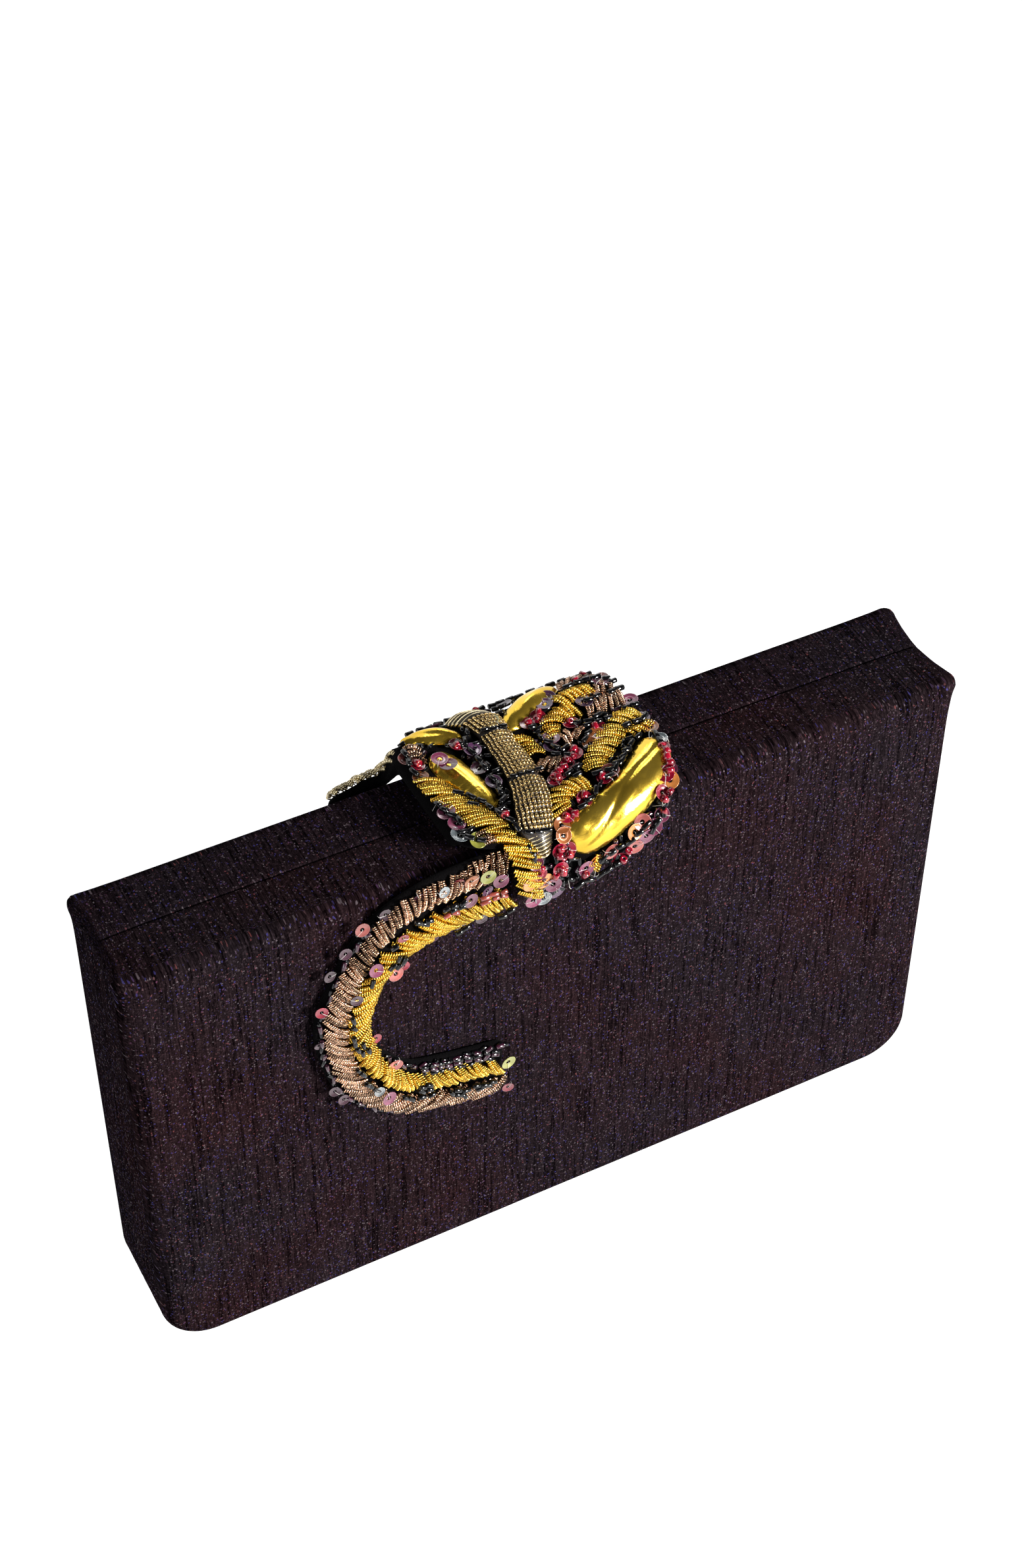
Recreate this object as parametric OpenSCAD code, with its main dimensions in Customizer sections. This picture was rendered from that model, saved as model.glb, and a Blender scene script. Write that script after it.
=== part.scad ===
// Hard-sided evening clutch: two silk-covered half cases hinged at the bottom
// seam, closed by an embroidered tab that folds over the top. Millimetres,
// +Z up, +X along the width, origin at the middle of the base.

/* [Case] */
// Width of the closed case
case_w = 203.2; // [190:0.2:240]
// Height of the closed case
case_h = 127; // [115:0.5:150]
// Depth of the closed case
case_d = 31.8; // [30:0.2:40]
// Radius of the bottom corners seen from the front
bottom_corner_r = 12; // [8:0.5:16]
// Radius of the top corners seen from the front
top_corner_r = 4.5; // [3:0.5:8]
// Radius of the upright edges seen from above
side_edge_r = 8; // [6:0.5:10]
// Radius along the bottom edges
bottom_edge_r = 5; // [4:0.5:7]
// Radius along the top edges
top_edge_r = 4; // [3:0.5:6]
// Gap between the two halves at the seam
seam_gap = 0.3; // [0.2:0.05:0.8]

/* [Wall layers] */
// Thickness of the silk cover
cover_t = 0.8; // [0.6:0.05:1]
// Thickness of the wadding under the silk
wadding_t = 1; // [0.8:0.05:1.1]
// Thickness of the fibreboard
board_t = 1.6; // [1.4:0.05:1.7]
// Thickness of the satin lining
lining_t = 0.6; // [0.4:0.05:0.8]

/* [Bottom hinge] */
// Height of the hinge pin above the base
pin_z = 2.2; // [2.1:0.05:2.4]
// Radius of the hinge barrel
barrel_r = 1.7; // [1.5:0.05:1.8]
// Radius of the hinge pin
pin_r = 0.7; // [0.6:0.05:0.8]
// Radial play of the moving knuckles on the pin
pin_play = 0.05; // [0.02:0.01:0.1]
// Length of the hinge
hinge_l = 120; // [80:10:150]
// Number of knuckles along the hinge
knuckles = 10; // [6:2:14]
// Half angle of the groove under the pin
groove_deg = 43; // [40:1:46]

/* [Closing tab] */
// Height of the underside of the tab above the case
tab_lift = 1.6; // [1.5:0.1:3]
// Gap between the tab and the front face
tab_front_gap = 0.7; // [0.6:0.05:1.5]
// Inside bend radius of the tab
tab_bend_r = 6; // [5.5:0.1:6.5]
// Thickness of the stiff velvet backing
tab_back_t = 1.8; // [1.7:0.05:2]
// Thickness of the padding
tab_pad_t = 2.8; // [2:0.1:3]
// Radius of the magnet
magnet_r = 4; // [3:0.5:4.5]

/* [Embroidery] */
// Height of the coiled purl rows
purl_h = 2; // [1.5:0.1:2.2]
// Height of the padded leather leaves
leaf_h = 3.2; // [2.6:0.1:3.4]
// Radius of a sequin
sequin_r = 2.1; // [1.6:0.1:2.4]
// Radius of a black bugle bead
bugle_r = 0.8; // [0.6:0.05:0.9]
// Radius of a crimson bead
crimson_r = 1.2; // [0.9:0.1:1.4]

/* [Hidden] */
$fn = 48;
c = 0.02;                       // glue line between layers
hw = case_w / 2;
hd = case_d / 2;
hg = seam_gap / 2;
turn = 0.6;                     // turned-in silk at the seam
o1 = cover_t;                   // depth of each layer below the outside
o2 = o1 + wadding_t;
o3 = o2 + board_t;
o4 = o3 + lining_t;
leaf_z0 = o3 + c;               // hinge leaves lie on the board
leaf_z1 = pin_z + barrel_r;
leaf_y = 11;
// bend of the tab: centre line of the fold over the front top edge
zt = case_h + tab_lift;
yf = -(hd + tab_front_gap);
yc = yf + tab_bend_r;
zc = zt - tab_bend_r;
t1 = tab_back_t;
t2 = t1 + tab_pad_t;
tab_left = -25;
tab_right = 31;
split_x = -14.2;                // where the tab stops and the tail starts
split_y = yc - 1.9;
rear_y = hd + 5.4;
// outline of the tab seen from above, and of its front lobe seen from ahead
top_plan = [[tab_left, split_y], [tab_left, 12], [-44, 17], [-44, rear_y], [tab_right, rear_y], [tab_right, -2],
            [28.5, -9], [25, -14], [25, -40], [split_x, -40], [split_x, split_y]];
front_plan = [[split_x, 0.02], [25, 0.02], [21.5, -3.6], [14, -7.2], [0, -9], [-9, -9.2], [split_x, -8]];
pad_plan = [[tab_left + 0.8, split_y + 0.7], [tab_left + 0.8, 12.6], [-43, 17.8], [-43, rear_y - 0.8],
            [tab_right - 0.8, rear_y - 0.8], [tab_right - 0.8, -1.8], [27.8, -8.6], [24.2, -13.8], [24.2, -40],
            [split_x + 0.6, -40], [split_x + 0.6, split_y + 0.7]];
pad_front = [[split_x + 0.6, 0.02], [24.2, 0.02], [20.8, -3.2], [13.6, -6.6], [0, -8.3], [-8.6, -8.5], [split_x + 0.6, -7.4]];
// routes on the front face, x and height
tail_mid = [[-14.8, 119.5], [-26, 119.6], [-36, 119], [-44, 116], [-50, 110.5], [-53.5, 104], [-54.6, 97], [-54.6, 89],
            [-53, 81.5], [-49.5, 75], [-44, 69.8], [-37, 66], [-29, 63.4], [-20, 61.4], [-14.8, 60.6]];
tail_gold = [[-15.2, 115.8], [-26, 115.6], [-34, 114.8], [-40.5, 112], [-45.5, 107.5], [-49, 102.5], [-50.8, 97], [-51, 90],
             [-49.6, 83.5], [-46.5, 77.5], [-41.5, 72.6], [-35.5, 69.2], [-28, 66.6], [-17, 64.4]];
tail_bronze = [[-15.2, 123.8], [-27, 124.2], [-37, 123.6], [-46, 120.4], [-53, 114], [-57, 106], [-58.4, 98], [-58.4, 88.5],
               [-56.6, 80], [-52.6, 72.4], [-46.4, 66.6], [-38.8, 62.6], [-30, 59.8], [-17, 57.4]];
tail_beads_route = [[-18, 120], [-27, 120], [-36, 119.2], [-43.4, 116.2], [-49.4, 110.6], [-53, 104], [-54.7, 97], [-54.7, 89],
                    [-53.1, 81.6], [-49.6, 74.8], [-44, 69.6], [-37.2, 65.9], [-29, 63.2], [-20, 61.4]];

// ---- shared shapes ----

// rectangle with its own radius at the low and the high corners
module round_rect(w, lo, hi, rl, rh) {
    translate([-w, lo + rl]) square([2 * w, hi - lo - rl - rh]);
    translate([-w + rl, lo]) square([2 * w - 2 * rl, rl + 0.01]);
    translate([-w + rh, hi - rh - 0.01]) square([2 * w - 2 * rh, rh + 0.01]);
    for (s = [-1, 1]) {
        translate([s * (w - rl), lo + rl]) circle(rl);
        translate([s * (w - rh), hi - rh]) circle(rh);
    }
}

// the closed case, drawn in by off on every side
module body(off) {
    intersection() {
        translate([0, hd + 2, 0]) rotate([90, 0, 0]) linear_extrude(case_d + 4)
            round_rect(hw - off, off, case_h - off, bottom_corner_r - off, max(top_corner_r - off, 0.6));
        translate([0, 0, -1]) linear_extrude(case_h + 2)
            round_rect(hw - off, -hd + off, hd - off, side_edge_r - off, side_edge_r - off);
        translate([-hw - 2, 0, 0]) rotate([90, 0, 90]) linear_extrude(case_w + 4)
            round_rect(hd - off, off, case_h - off, max(bottom_edge_r - off, 0.6), max(top_edge_r - off, 0.6));
    }
}

// everything on one side of the seam: side -1 is the front, 1 the back
module beyond(side, y0) {
    translate([-hw - 5, side > 0 ? y0 : -hd - 20 - y0, -5]) cube([case_w + 10, hd + 20, case_h + 10]);
}

// groove under the bottom seam that lets the halves swing
module groove() {
    translate([-hw - 5, 0, pin_z]) rotate([0, 90, 0]) cylinder(r = barrel_r + 0.4, h = case_w + 10);
    translate([-hw - 5, 0, 0]) rotate([90, 0, 90]) linear_extrude(case_w + 10)
        polygon([[0, pin_z], [-(pin_z + 1) * tan(groove_deg), -1], [(pin_z + 1) * tan(groove_deg), -1]]);
}

module layer(side, outer, inner, y0) {
    difference() {
        intersection() { body(outer); beyond(side, y0); }
        body(inner);
        groove();
    }
}

module cover(side) {
    difference() {
        intersection() { body(0); beyond(side, hg); }
        intersection() { body(o1); beyond(side, hg + turn); }
        body(o3 - c);
        groove();
    }
}

rivet_x = [-50, -30, -10, 10, 30, 50];
module rivet_holes(side, z0, z1) {
    for (x = rivet_x) translate([x, side * 7, z0]) cylinder(r = 0.65, h = z1 - z0, $fn = 24);
}

module board(side) {
    difference() {
        layer(side, o2 + c, o3 - c, hg + turn + c);
        rivet_holes(side, 1, 5);
        if (side > 0) translate([3, 7.5, case_h - o2 - 1]) cylinder(r = magnet_r + 0.1, h = 2);
    }
}

module lining(side) {
    difference() {
        layer(side, o3 + c, o4, hg + 0.3);
        translate([-hinge_l / 2 - 0.3, side > 0 ? 0 : -leaf_y - 0.3, o3 - 1]) cube([hinge_l + 0.6, leaf_y + 0.3, 2.5]);
    }
}

module hinge_leaf(side, first, bore) {
    k = hinge_l / knuckles;
    difference() {
        union() {
            translate([-hinge_l / 2, side > 0 ? 2.3 : -leaf_y, leaf_z0]) cube([hinge_l, leaf_y - 2.3, leaf_z1 - leaf_z0]);
            for (i = [first : 2 : knuckles - 1]) translate([-hinge_l / 2 + i * k + 0.1, 0, 0]) {
                translate([0, 0, pin_z]) rotate([0, 90, 0]) cylinder(r = barrel_r, h = k - 0.2);
                translate([0, side > 0 ? 0 : -2.4, leaf_z0]) cube([k - 0.2, 2.4, leaf_z1 - leaf_z0]);
            }
        }
        translate([-hw, 0, pin_z]) rotate([0, 90, 0]) cylinder(r = bore, h = case_w, $fn = 32);
        rivet_holes(side, 1, 6);
    }
}

module rivets(side) {
    for (x = rivet_x) translate([x, side * 7, 0]) {
        translate([0, 0, o2 + 0.1]) cylinder(r = 0.6, h = leaf_z1 - o2 + 0.1, $fn = 24);
        translate([0, 0, leaf_z1 + c]) cylinder(r1 = 1.3, r2 = 0.8, h = 0.5, $fn = 24);
    }
}

// profile of the tab between two heights above its underside
module fold(ta, tb, y_end) {
    translate([yc - 0.01, zt + ta]) square([y_end - yc + 0.01, tb - ta]);
    translate([yf - tb, zc - 20]) square([tb - ta, 20.01]);
    intersection() {
        translate([yc, zc]) difference() { circle(tab_bend_r + tb, $fn = 96); circle(tab_bend_r + ta, $fn = 96); }
        translate([yc - 30, zc]) square([30, 30]);
    }
}

module fold_bar(x0, x1, ta, tb, y_end) {
    translate([x0, 0, 0]) rotate([90, 0, 90]) linear_extrude(x1 - x0) fold(ta, tb, y_end);
}

// a run of the fold between two angles round the bend, 0 at the top
module bend_bar(x0, x1, ta, tb, a0, a1) {
    translate([x0, 0, 0]) rotate([90, 0, 90]) linear_extrude(x1 - x0) intersection() {
        translate([yc, zc]) difference() { circle(tab_bend_r + tb, $fn = 96); circle(tab_bend_r + ta, $fn = 96); }
        translate([yc, zc]) polygon([[0, 0], 30 * [-sin(a0), cos(a0)], 34 * [-sin((a0 + a1) / 2), cos((a0 + a1) / 2)], 30 * [-sin(a1), cos(a1)]]);
    }
}

module tab_solid(ta, tb, plan, lobe) {
    intersection() {
        fold_bar(-60, 60, ta, tb, 60);
        union() {
            translate([0, 0, zc]) linear_extrude(60) polygon(plan);
            translate([0, 0, zc]) rotate([90, 0, 0]) linear_extrude(60) polygon(lobe);
        }
    }
}

// flat patch lying on the padded top
module patch(pts, h) {
    translate([0, 0, zt + t2 + c]) linear_extrude(h) polygon(pts);
}

// pointed oval
module lens(l, w) {
    r = (l * l / 4 + w * w / 4) / w;
    intersection() {
        translate([0, r - w / 2]) circle(r, $fn = 96);
        translate([0, -r + w / 2]) circle(r, $fn = 96);
    }
}

module leaf(x, y, a, l, w) {
    translate([x, y, zt + t2 + c]) rotate([0, 0, a]) {
        linear_extrude(leaf_h * 0.6) lens(l, w);
        translate([0, 0, leaf_h * 0.6 - 0.01]) linear_extrude(leaf_h * 0.4) lens(l * 0.8, w * 0.62);
    }
}

// smooth curve through a route, n steps to each stretch
function at(r, i) = r[max(0, min(len(r) - 1, i))];
function smooth(r, n) = concat([for (i = [0 : len(r) - 2], k = [0 : n - 1]) let (t = k / n, a = at(r, i - 1), b = r[i], d = r[i + 1], e = at(r, i + 2))
    0.5 * (2 * b + t * (d - a) + t * t * (2 * a - 5 * b + 4 * d - e) + t * t * t * (3 * b - a - 3 * d + e))], [r[len(r) - 1]]);
function side_of(r, i) = let (d = at(r, i + 1) - at(r, i - 1)) [-d[1], d[0]] / norm(d);

// band along a route on the front face, with a width at each end
module band(route, w0, w1, y0, h) {
    r = smooth(route, 4);
    n = len(r) - 1;
    translate([0, -y0, 0]) rotate([90, 0, 0]) linear_extrude(h) polygon(concat(
        [for (i = [0 : n]) r[i] + side_of(r, i) * (w0 + (w1 - w0) * i / n) / 2],
        [for (i = [n : -1 : 0]) r[i] - side_of(r, i) * (w0 + (w1 - w0) * i / n) / 2]));
}

module washer(r, h) {
    difference() { cylinder(r = r, h = h, $fn = 32); translate([0, 0, -1]) cylinder(r = r * 0.26, h = h + 2, $fn = 24); }
}

// ---- back half ----

module back_cover() { color([0.09, 0.07, 0.09]) cover(1); }
module back_wadding() { color([0.85, 0.84, 0.8]) layer(1, o1 + c, o2 - c, hg + turn + c); }
module back_board() { color([0.5, 0.42, 0.32]) board(1); }
module back_lining() { color([0.25, 0.06, 0.12]) lining(1); }

module slip_pocket() {
    color([0.28, 0.07, 0.14]) difference() {
        translate([-55, hd - o4 - 1.1, 12]) cube([110, 1.08, 62]);
        translate([-54, hd - o4 - 0.62, 13]) cube([108, 0.5, 70]);
    }
}

module keeper_disc() { color([0.6, 0.6, 0.62]) translate([3, 7.5, case_h - o2 - 0.95]) cylinder(r = magnet_r, h = 0.9); }
module hinge_leaf_back() { color([0.75, 0.6, 0.3]) hinge_leaf(1, 0, pin_r + 0.01); }
module hinge_rivets_back() { color([0.8, 0.65, 0.35]) rivets(1); }
module hinge_pin() {
    color([0.7, 0.7, 0.72]) translate([-hinge_l / 2, 0, pin_z]) rotate([0, 90, 0]) cylinder(r = pin_r, h = hinge_l, $fn = 32);
}

// ---- front half ----

module front_cover() { color([0.11, 0.08, 0.1]) cover(-1); }
module front_wadding() { color([0.85, 0.84, 0.8]) layer(-1, o1 + c, o2 - c, hg + turn + c); }
module front_board() { color([0.5, 0.42, 0.32]) board(-1); }
module front_lining() { color([0.25, 0.06, 0.12]) lining(-1); }
module hinge_leaf_front() { color([0.75, 0.6, 0.3]) hinge_leaf(-1, 1, pin_r + pin_play); }
module hinge_rivets_front() { color([0.8, 0.65, 0.35]) rivets(-1); }

// thin lip inside the front half that slides under the back half's edge
module closing_lip() {
    color([0.2, 0.05, 0.1]) intersection() {
        difference() {
            union() {
                intersection() { body(o4 + c); beyond(-1, hg + 0.6); }
                intersection() { body(o4 + 0.35); translate([-hw, -5, 0]) cube([case_w, 7.4, case_h]); }
            }
            body(o4 + 1.1);
        }
        translate([-hw, -8, 20]) cube([case_w, 10.4, case_h]);
    }
}

module tab_hinge_strip() {
    color([0.03, 0.03, 0.03]) translate([-10, -hd - 0.32, zc - 9]) cube([22, 0.3, 8]);
}

module tail_backing() { color([0.03, 0.03, 0.03]) band(tail_mid, 16, 12.6, hd + 0.25, 1.2); }
module tail_gold_purl() { color([0.85, 0.65, 0.15]) band(tail_gold, 5.2, 4.4, hd + 1.47, purl_h); }
module tail_bronze_purl() { color([0.68, 0.48, 0.35]) band(tail_bronze, 5.2, 4.4, hd + 1.47, purl_h); }

module tail_black_beads() {
    color([0.02, 0.02, 0.02]) for (i = [0 : len(tail_beads_route) - 2]) {
        p = tail_beads_route[i];
        d = tail_beads_route[i + 1] - p;
        for (k = [0.3, 0.72]) translate([p[0] + d[0] * k, -hd - 1.47 - bugle_r, p[1] + d[1] * k])
            rotate([0, -atan2(d[1], d[0]), 0]) rotate([0, 90, 0]) translate([0, 0, -1.2]) cylinder(r = bugle_r, h = 2.4, $fn = 24);
    }
}

module tail_sequins() {
    color([0.7, 0.45, 0.6]) for (p = [[-50, 123], [-57.5, 113], [-41.5, 107.5], [-60.5, 104], [-46, 99], [-44.5, 78], [-47.5, 70],
                                   [-58.5, 76], [-17, 66], [-17, 56.5], [-30, 124.5], [-22, 113.5]])
        translate([p[0], -hd - 1.5 - purl_h, p[1]]) rotate([90, 0, 0]) washer(sequin_r, 0.5);
}

// ---- closing tab ----

module tab_backing() {
    color([0.03, 0.03, 0.03]) difference() {
        tab_solid(0, t1, top_plan, front_plan);
        translate([3, 7.5, zt - 1]) cylinder(r = magnet_r + 0.1, h = 2.6);
    }
}

module tab_padding() { color([0.05, 0.05, 0.05]) tab_solid(t1 + c, t2, pad_plan, pad_front); }
module tab_magnet() { color([0.7, 0.7, 0.72]) translate([3, 7.5, zt]) cylinder(r = magnet_r, h = 1.5); }

// the big leaf lies across the bend
module leaf_large() {
    color([0.8, 0.7, 0.3]) {
        intersection() {
            fold_bar(-60, 60, t2 + c, t2 + leaf_h * 0.6, 60);
            translate([14.5, yc, zc]) rotate([40, 0, 0]) rotate([0, 0, 34]) translate([0, -1, 8]) linear_extrude(30) lens(31, 11);
        }
        intersection() {
            fold_bar(-60, 60, t2 + leaf_h * 0.55, t2 + leaf_h, 60);
            translate([14.5, yc, zc]) rotate([40, 0, 0]) rotate([0, 0, 34]) translate([0, -1, 8]) linear_extrude(30) lens(26, 7);
        }
    }
}

module leaf_left() { color([0.8, 0.7, 0.3]) leaf(-15.2, 0.4, -74, 19, 5.6); }
module leaf_back_left() { color([0.8, 0.7, 0.3]) leaf(-15.5, 15.6, -32, 13, 5); }
module leaf_back_right() { color([0.8, 0.7, 0.3]) leaf(9, 15.4, 24, 18, 7); }

module belly_wires() {
    color([0.6, 0.52, 0.35]) {
        patch([[-8, 6], [-8, 16.6], [-1.6, 16.6], [-0.9, 6]], 1.6);
        patch([[-8.2, -4.2], [-8, 5], [-0.9, 5], [-0.7, -4.2]], 1.6);
        patch([[-9, yc + 0.1], [-8.3, -5.8], [-0.6, -5.8], [-2.4, yc + 0.1]], 1.6);
        bend_bar(-9.5, -3.4, t2 + c, t2 + 1.6, 3, 52);
    }
}

module tab_gold_purl() {
    color([0.85, 0.65, 0.15]) {
        patch([[-24, 5.4], [-19.8, 5.2], [-18.8, 1], [-19.2, -1.4], [-24, -1]], purl_h);
        patch([[-21.4, yc + 0.1], [-21.4, -5], [-18.2, -5], [-16.4, yc + 0.1]], purl_h);
        bend_bar(-13.4, -10, t2 + c, t2 + purl_h, 20, 90);
        translate([0, 0, zc]) rotate([90, 0, 0]) translate([0, 0, -yf + t2 + c]) linear_extrude(purl_h) polygon([[-13.4, -0.1], [-10, -0.1], [-9.4, -7], [-12, -7.6]]);
        patch([[0.4, 1], [3.2, 1], [3.2, 7], [0.4, 7]], purl_h);
        patch([[7.4, 4.4], [9, 9.4], [15.8, 9.6], [15.2, 6.6], [11, 5]], purl_h);
        patch([[18, 11.4], [23, 11.4], [23, 15.4], [18, 15.4]], purl_h);
        patch([[30, 3.8], [30, -1.8], [23, -1.2], [17, -5.6], [11, yc + 0.1], [8, -7.6], [12.6, -3], [20.4, 1.6]], purl_h);
        bend_bar(-1.6, 5, t2 + c, t2 + purl_h, 3, 24);
    }
}

module tab_bronze_purl() {
    color([0.68, 0.48, 0.35]) {
        patch([[16.6, 5.6], [30, 5.4], [29.8, 10.6], [23, 10.4], [17, 8.6]], purl_h);
        patch([[8.8, -0.8], [13.6, -0.8], [15.6, 1.2], [14.6, 3.6], [9, 3.4]], purl_h);
        patch([[0.4, -4.6], [4, -4.6], [4, -0.6], [0.4, -0.6]], purl_h);
        patch([[25, 12], [30, 12], [30, 18], [25, 18]], purl_h);
    }
}

module tab_black_beads() {
    z = zt + t2 + c + bugle_r;
    color([0.02, 0.02, 0.02]) {
        for (x = [-7.2, -5.4, -3.6, -1.8]) translate([x, -5, zt + t2 + c + 0.55]) rotate([0, 90, 0]) translate([0, 0, -0.7]) cylinder(r = 0.55, h = 1.4, $fn = 24);
        for (p = [[17.6, 3.4], [20.6, 4.2], [6, 2.8], [6.2, -7.4], [25.4, -4.2], [21.4, -6.4], [-22.6, -4], [-20, 9], [-10.4, 9.6], [-10, 3], [-10, -3]])
            translate([p[0], p[1], z]) rotate([0, 90, 20]) translate([0, 0, -1.1]) cylinder(r = bugle_r, h = 2.2, $fn = 24);
    }
}

module tab_crimson_beads() {
    color([0.6, 0.03, 0.1]) for (p = [[5.8, -4], [6.4, 0.4], [4.8, 9.4], [2, -7.4], [-22.4, 8.6], [-10.2, 6.4], [27.4, -5.8]])
        translate([p[0], p[1], zt + t2 + c]) cylinder(r = crimson_r, h = 1.6, $fn = 24);
}

module tab_sequins() {
    color([0.65, 0.45, 0.6]) {
        for (p = [[-22.8, -8], [-22.6, 1.2], [11.6, 1.2], [18.4, 7.2], [27, 8.4], [28, 0.6], [20.6, 13.6], [27.6, 15], [1.8, 3.6], [2.2, -2.4], [-22.4, 12.4], [18.6, 19]])
            translate([p[0], p[1], zt + t2 + purl_h + 0.1]) washer(sequin_r, 0.5);
        for (p = [[-5.4, -5], [-1, -6.8], [5, -6.4], [10.6, -4.8], [16, -3], [1, -2.4]])
            translate([p[0], yf - t2 - c, zc + p[1]]) rotate([90, 0, 0]) washer(sequin_r, 0.5);
    }
}

module tab_edge_purl() {
    color([0.75, 0.62, 0.4]) {
        r = 1.5;
        translate([-44, 24.4 - r, zt + 2.4]) rotate([0, 90, 0]) cylinder(r = r, h = 75);
        translate([-44, rear_y - 2.6, zt + t2 + c]) cube([18, 2.4, 1.8]);
    }
}

back_cover();
back_wadding();
back_board();
back_lining();
slip_pocket();
keeper_disc();
hinge_leaf_back();
hinge_pin();
hinge_rivets_back();
front_cover();
front_wadding();
front_board();
front_lining();
closing_lip();
hinge_leaf_front();
hinge_rivets_front();
tab_hinge_strip();
tail_backing();
tail_gold_purl();
tail_bronze_purl();
tail_black_beads();
tail_sequins();
tab_backing();
tab_padding();
tab_magnet();
leaf_large();
leaf_left();
leaf_back_left();
leaf_back_right();
belly_wires();
tab_gold_purl();
tab_bronze_purl();
tab_black_beads();
tab_crimson_beads();
tab_sequins();
tab_edge_purl();
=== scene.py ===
import math
import bpy
import numpy as np
from mathutils import Vector, Matrix
from mathutils.geometry import delaunay_2d_cdt


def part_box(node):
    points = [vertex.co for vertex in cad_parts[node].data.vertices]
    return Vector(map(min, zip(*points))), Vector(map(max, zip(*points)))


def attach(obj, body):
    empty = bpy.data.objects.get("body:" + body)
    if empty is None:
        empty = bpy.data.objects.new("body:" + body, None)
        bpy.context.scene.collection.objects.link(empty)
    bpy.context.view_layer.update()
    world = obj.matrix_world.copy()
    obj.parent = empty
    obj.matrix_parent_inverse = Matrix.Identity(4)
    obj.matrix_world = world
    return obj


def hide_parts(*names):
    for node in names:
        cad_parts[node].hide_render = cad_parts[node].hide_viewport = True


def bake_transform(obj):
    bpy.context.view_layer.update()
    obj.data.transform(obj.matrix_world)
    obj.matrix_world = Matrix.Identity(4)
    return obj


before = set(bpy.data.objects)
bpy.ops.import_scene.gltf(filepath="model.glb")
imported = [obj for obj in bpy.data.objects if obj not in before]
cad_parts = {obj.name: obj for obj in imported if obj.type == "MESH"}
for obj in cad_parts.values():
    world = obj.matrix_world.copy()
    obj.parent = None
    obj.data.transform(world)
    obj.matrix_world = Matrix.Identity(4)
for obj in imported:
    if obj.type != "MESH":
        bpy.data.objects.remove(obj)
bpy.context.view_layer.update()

scene = bpy.context.scene
rng = np.random.default_rng(11)

# ---------------------------------------------------------------- sizes, in mm, from the frame
_fl, _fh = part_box("front_cover")
_bl, _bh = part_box("back_cover")
HW, HT, HD = _bh[0] * 1e3, _bh[2] * 1e3, _bh[1] * 1e3
TB_LO, TB_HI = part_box("tab_backing")
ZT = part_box("tab_magnet")[0][2] * 1e3          # underside of the tab
YF = TB_LO[1] * 1e3 + 1.8                       # back of the tab's front lobe
R0 = 6.0
YC, ZC = YF + R0, ZT - R0
S0, RM = -YC, 12.5
S1 = S0 + RM * math.pi / 2
SB, RMB, RB0 = 13.5, 7.0, 2.0                   # bend at the tab's back edge
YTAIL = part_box("tail_backing")[1][1] * 1e3      # back of the tail's backing
PIN_Z = 2.2

# ---------------------------------------------------------------- camera
cam_data = bpy.data.cameras.new("camera")
cam = bpy.data.objects.new("camera", cam_data)
scene.collection.objects.link(cam)
cam_data.sensor_width = 36.0
cam_data.sensor_fit = "AUTO"
cam_data.lens = 63.55
_r, _u, _f = Vector((0.8884, -0.4591, 0.0)), Vector((0.3201, 0.6195, 0.7168)), Vector((0.3291, 0.6368, -0.6973))
_r.normalize(); _f.normalize(); _u = _r.cross(_f)
_m = Matrix((_r, _u, -_f)).transposed().to_4x4()
_m.translation = Vector((-0.2014, -0.3811, 0.5460))
cam.matrix_world = _m
cam_data.clip_start, cam_data.clip_end = 0.01, 50
scene.camera = cam
scene.view_settings.view_transform = "Standard"
scene.view_settings.look = "None"


# ---------------------------------------------------------------- small helpers
def mesh_obj(name, V, F, mat, uv=None, smooth=True, mats=None, midx=None):
    me = bpy.data.meshes.new(name)
    me.from_pydata((np.asarray(V) * 1e-3).tolist(), [], [list(map(int, f)) for f in F])
    for m in (mats or [mat]):
        me.materials.append(m)
    if midx is not None:
        me.polygons.foreach_set("material_index", np.asarray(midx, dtype=np.int32))
    if smooth:
        me.polygons.foreach_set("use_smooth", np.ones(len(me.polygons), dtype=bool))
    if uv is not None:
        layer = me.uv_layers.new(name="UVMap")
        layer.data.foreach_set("uv", np.asarray(uv, dtype=np.float32).ravel())
    me.update()
    o = bpy.data.objects.new(name, me)
    scene.collection.objects.link(o)
    return o


def fix_normals(o):
    import bmesh
    bm = bmesh.new()
    bm.from_mesh(o.data)
    bmesh.ops.recalc_face_normals(bm, faces=bm.faces)
    bm.to_mesh(o.data)
    bm.free()
    return o


def apply_mods(o):
    dg = bpy.context.evaluated_depsgraph_get()
    me = bpy.data.meshes.new_from_object(o.evaluated_get(dg))
    o.modifiers.clear()
    o.data = me
    return o


def catmull(P, n=6):
    P = np.asarray(P, float)
    out = []
    for i in range(len(P) - 1):
        a, b, c, d = P[max(i - 1, 0)], P[i], P[i + 1], P[min(i + 2, len(P) - 1)]
        for k in range(n):
            t = k / n
            out.append(0.5 * (2 * b + t * (c - a) + t * t * (2 * a - 5 * b + 4 * c - d) + t ** 3 * (3 * b - a - 3 * c + d)))
    out.append(P[-1])
    return np.array(out)


def catmull_closed(P, n=5):
    P = np.asarray(P, float)
    m = len(P)
    out = []
    for i in range(m):
        a, b, c, d = P[(i - 1) % m], P[i], P[(i + 1) % m], P[(i + 2) % m]
        for k in range(n):
            t = k / n
            out.append(0.5 * (2 * b + t * (c - a) + t * t * (2 * a - 5 * b + 4 * c - d) + t ** 3 * (3 * b - a - 3 * c + d)))
    return np.array(out)


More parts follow.
